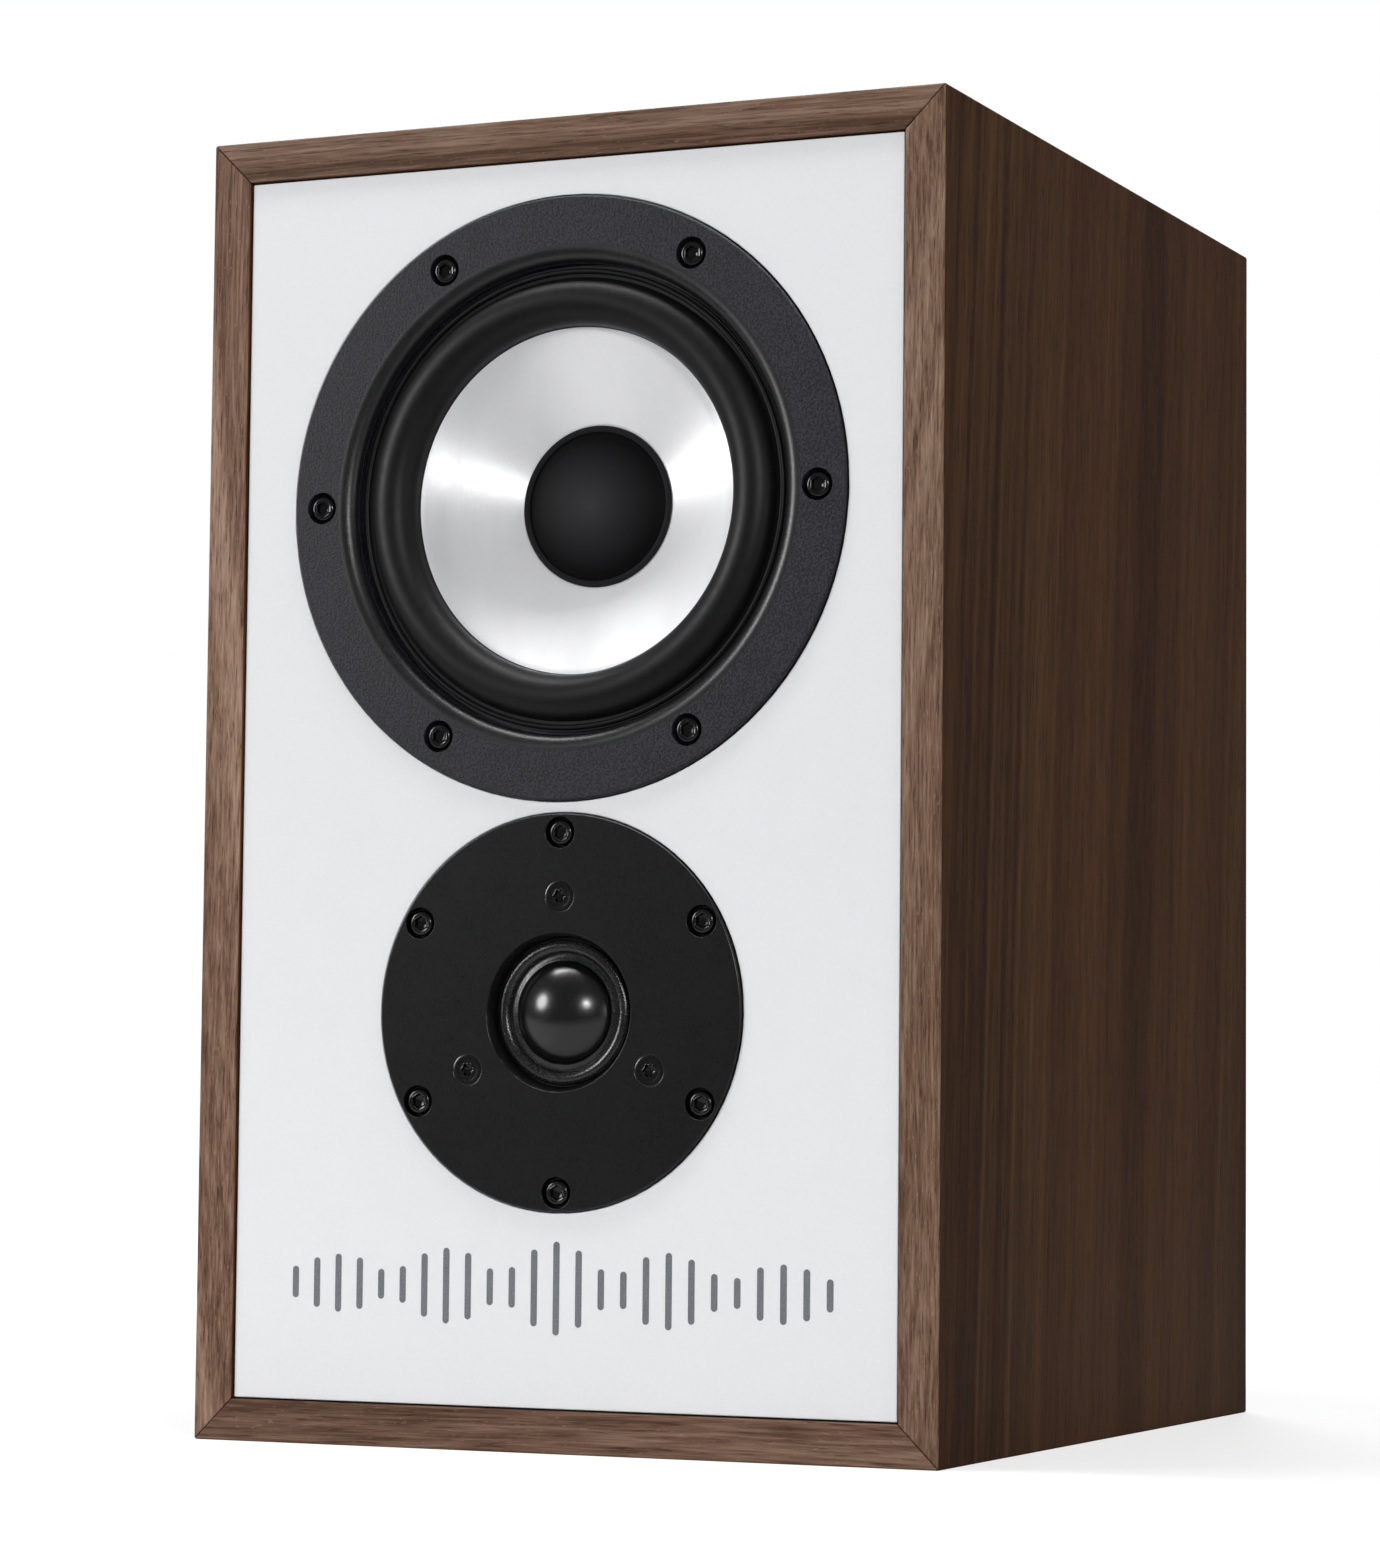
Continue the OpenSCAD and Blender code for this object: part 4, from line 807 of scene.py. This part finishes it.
def foam_lining(name, node):
    """Convoluted acoustic foam: flat on the wall, with peaks and hollows towards the inside."""
    low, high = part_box(node)
    inward = -1 if low.x > 0 else 1
    wall = high.x if inward < 0 else low.x
    thick = high.x - low.x
    pitch, step = 0.026, 0.0026
    hollow, swell, sharpness = 0.36, 0.62, 1.25     # the first two are parts of the thickness
    rows = int((high.y - low.y) / step)
    columns = int((high.z - low.z) / step)
    points = []
    for i in range(rows + 1):
        for j in range(columns + 1):
            y = low.y + (high.y - low.y) * i / rows
            z = low.z + (high.z - low.z) * j / columns
            crown = 0.5 + 0.5 * math.sin(2 * math.pi * y / pitch) * math.sin(2 * math.pi * z / pitch)
            rise = thick * (hollow + swell * crown ** sharpness)
            edge = min(y - low.y, high.y - y, z - low.z, high.z - z)
            rise *= 1 - 0.10 * math.exp(-edge / 0.002)
            points.append((wall + inward * rise, y, z))
    across = columns + 1
    front = [
        (i * across + j, (i + 1) * across + j, (i + 1) * across + j + 1, i * across + j + 1)
        for i in range(rows) for j in range(columns)
    ]
    rim = list(range(across))
    rim += [i * across + columns for i in range(1, rows + 1)]
    rim += [rows * across + j for j in range(columns - 1, -1, -1)]
    rim += [i * across for i in range(rows - 1, 0, -1)]
    start = len(points)
    points += [(wall, points[k][1], points[k][2]) for k in rim]
    sides = [
        (rim[k], rim[(k + 1) % len(rim)], start + (k + 1) % len(rim), start + k) for k in range(len(rim))
    ]
    back = [tuple(range(start, start + len(rim)))]
    piece = mesh_piece(name, points, front + sides + back, MATERIALS["foam"], 70)
    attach(piece, "cabinet")
    stand_for(piece, "foam", node)


# ---------------------------------------------------------------- printed ornament

def baffle_print():
    """A row of plain upright bars, in low relief, below the tweeter."""
    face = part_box("front_baffle")[0].y
    relief, depth = 0.00004, 0.00010
    bar, pitch, count = 1.9 * MM, 6.6 * MM, 25
    middle_z, last = 0.044, (count - 1) / 2
    points, faces = [], []
    for i in range(count):
        off = i - last
        x = off * pitch
        swing = abs(math.cos(0.62 * off)) * (1 - 0.55 * abs(off) / last)
        half = (2.5 + 10.0 * swing) * MM
        outline = [
            (x + bar / 2 * math.cos(a), middle_z + s * (half - bar / 2) + bar / 2 * math.sin(a))
            for s, turns in ((1, range(0, 181, 20)), (-1, range(180, 361, 20)))
            for a in map(math.radians, turns)
        ]
        start, n = len(points), len(outline)
        points += [(px, face - relief, pz) for px, pz in outline]
        points += [(px, face + depth, pz) for px, pz in outline]
        faces.append(tuple(range(start, start + n)))
        faces.append(tuple(range(start + 2 * n - 1, start + n - 1, -1)))
        faces += [(start + k, start + n + k, start + n + (k + 1) % n, start + (k + 1) % n)
                  for k in range(n)]
    piece = mesh_piece("baffle_print", points, faces, INK)
    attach(piece, "cabinet")


# ---------------------------------------------------------------- stage, lights and camera

def floor_paper():
    """White paper: shadows show near the object, and it glows to plain white further away."""
    g = Graph("floor_paper", Roughness=0.9)
    texture = g.noise(g.placed((250, 250, 250)), 3)
    ahead = g.span(g.node("ShaderNodeSeparateXYZ", {0: g.coords}).outputs["Y"],
                   FRONT - 0.06, FRONT + 0.02, 1.0, 0.0)
    near = g.ramp(texture, [(0.3, grey(0.56)), (0.7, grey(0.58))])
    g.feed("Base Color", g.mix(ahead, g.ramp(texture, [(0.3, grey(0.22)), (0.7, grey(0.24))]), near))
    g.bump(texture, 0.00002)
    distance = g.vector("LENGTH", g.coords, (0, 0, 0), "Value")
    glow = g.span(distance, 0.22, 0.9, 0.66, 1.0)
    seen = g.node("ShaderNodeLightPath").outputs["Is Camera Ray"]
    g.feed("Emission Strength", g.math("MULTIPLY", glow, seen))
    g.shader.inputs["Emission Color"].default_value = (1, 1, 1, 1)
    return g.material


def make_stage():
    """The paper on the floor, and a world that looks white and gives a dim, slightly cool light."""
    half_width, ahead, behind = 3, -0.46, 4
    corners = [(-half_width, ahead, 0), (half_width, ahead, 0), (half_width, behind, 0),
               (-half_width, behind, 0)]
    floor = mesh_piece("floor", corners, [(0, 1, 2, 3)], floor_paper())
    world = bpy.data.worlds.new("studio")
    world.use_nodes = True
    tree = world.node_tree
    rays = tree.nodes.new("ShaderNodeLightPath")
    seen = tree.nodes.new("ShaderNodeBackground")
    seen.inputs["Color"].default_value = (1, 1, 1, 1)
    lit = tree.nodes["Background"]
    lit.inputs["Color"].default_value = (0.95, 0.97, 1.0, 1)
    lit.inputs["Strength"].default_value = 0.20
    both = tree.nodes.new("ShaderNodeMixShader")
    tree.links.new(rays.outputs["Is Camera Ray"], both.inputs[0])
    tree.links.new(lit.outputs[0], both.inputs[1])
    tree.links.new(seen.outputs[0], both.inputs[2])
    tree.links.new(both.outputs[0], tree.nodes["World Output"].inputs["Surface"])
    bpy.context.scene.world = world
    bpy.context.scene.view_settings.view_transform = "Standard"


def softbox(name, azimuth, elevation, distance, width, height, power, shape="ELLIPSE"):
    """An area light aimed at the cabinet; azimuth runs from the front towards +X."""
    aim = Vector((0, FRONT, HEIGHT / 2))
    a, e = math.radians(azimuth), math.radians(elevation)
    out = Vector((math.sin(a) * math.cos(e), -math.cos(a) * math.cos(e), math.sin(e)))
    light = bpy.data.lights.new(name, "AREA")
    light.shape = shape
    light.size, light.size_y = width, height
    light.energy = power
    lamp = bpy.data.objects.new(name, light)
    bpy.context.scene.collection.objects.link(lamp)
    lamp.location = aim + out * distance
    lamp.rotation_mode = "QUATERNION"
    lamp.rotation_quaternion = (-out).to_track_quat("-Z", "Y")
    lamp.visible_camera = False


def make_camera(place, yaw, pitch, roll, lens):
    """A camera at the photograph's viewpoint; angles are in degrees from a level view of the front."""
    camera = bpy.data.cameras.new("camera")
    camera.sensor_width = 36
    camera.lens = lens
    camera.clip_start = 0.05
    camera.clip_end = 50
    eye = bpy.data.objects.new("camera", camera)
    bpy.context.scene.collection.objects.link(eye)
    turn = (Matrix.Rotation(math.radians(yaw), 4, "Z") @ Matrix.Rotation(math.radians(pitch), 4, "X")
            @ Matrix.Rotation(math.radians(roll), 4, "Y") @ Matrix.Rotation(math.pi / 2, 4, "X"))
    eye.matrix_world = Matrix.Translation(place) @ turn
    bpy.context.scene.camera = eye


make_camera((0.5352, FRONT - 1.1185, 0.0928), yaw=23.955, pitch=4.096, roll=-0.5365, lens=106.76)
make_stage()
softbox("left_softbox", -51, 14, 2.6, 0.9, 0.9, 35)
softbox("right_softbox", 35, 14, 2.0, 0.33, 0.33, 12.5)
softbox("top_softbox", 8, 83, 1.4, 1.9, 0.20, 23, "RECTANGLE")
softbox("side_softbox", 74, 2, 1.7, 0.3, 0.45, 1.8, "RECTANGLE")
softbox("rear_softbox", -160, 25, 1.9, 0.9, 0.9, 22)
finish_nodes()
woofer_bead()
woofer_roll()
woofer_diaphragm()
woofer_cap()
woofer_centring()
tinsel_leads()
tweeter_cap()
tweeter_roll()
driver_screws()
baffle_print()
threaded_post("positive_binding_post", "positive_post")
threaded_post("negative_binding_post", "negative_post")
inductor("bass_inductor", "bass_coil")
inductor("treble_inductor", "treble_coil")
foam_lining("left_foam_lining", "left_foam")
foam_lining("right_foam_lining", "right_foam")
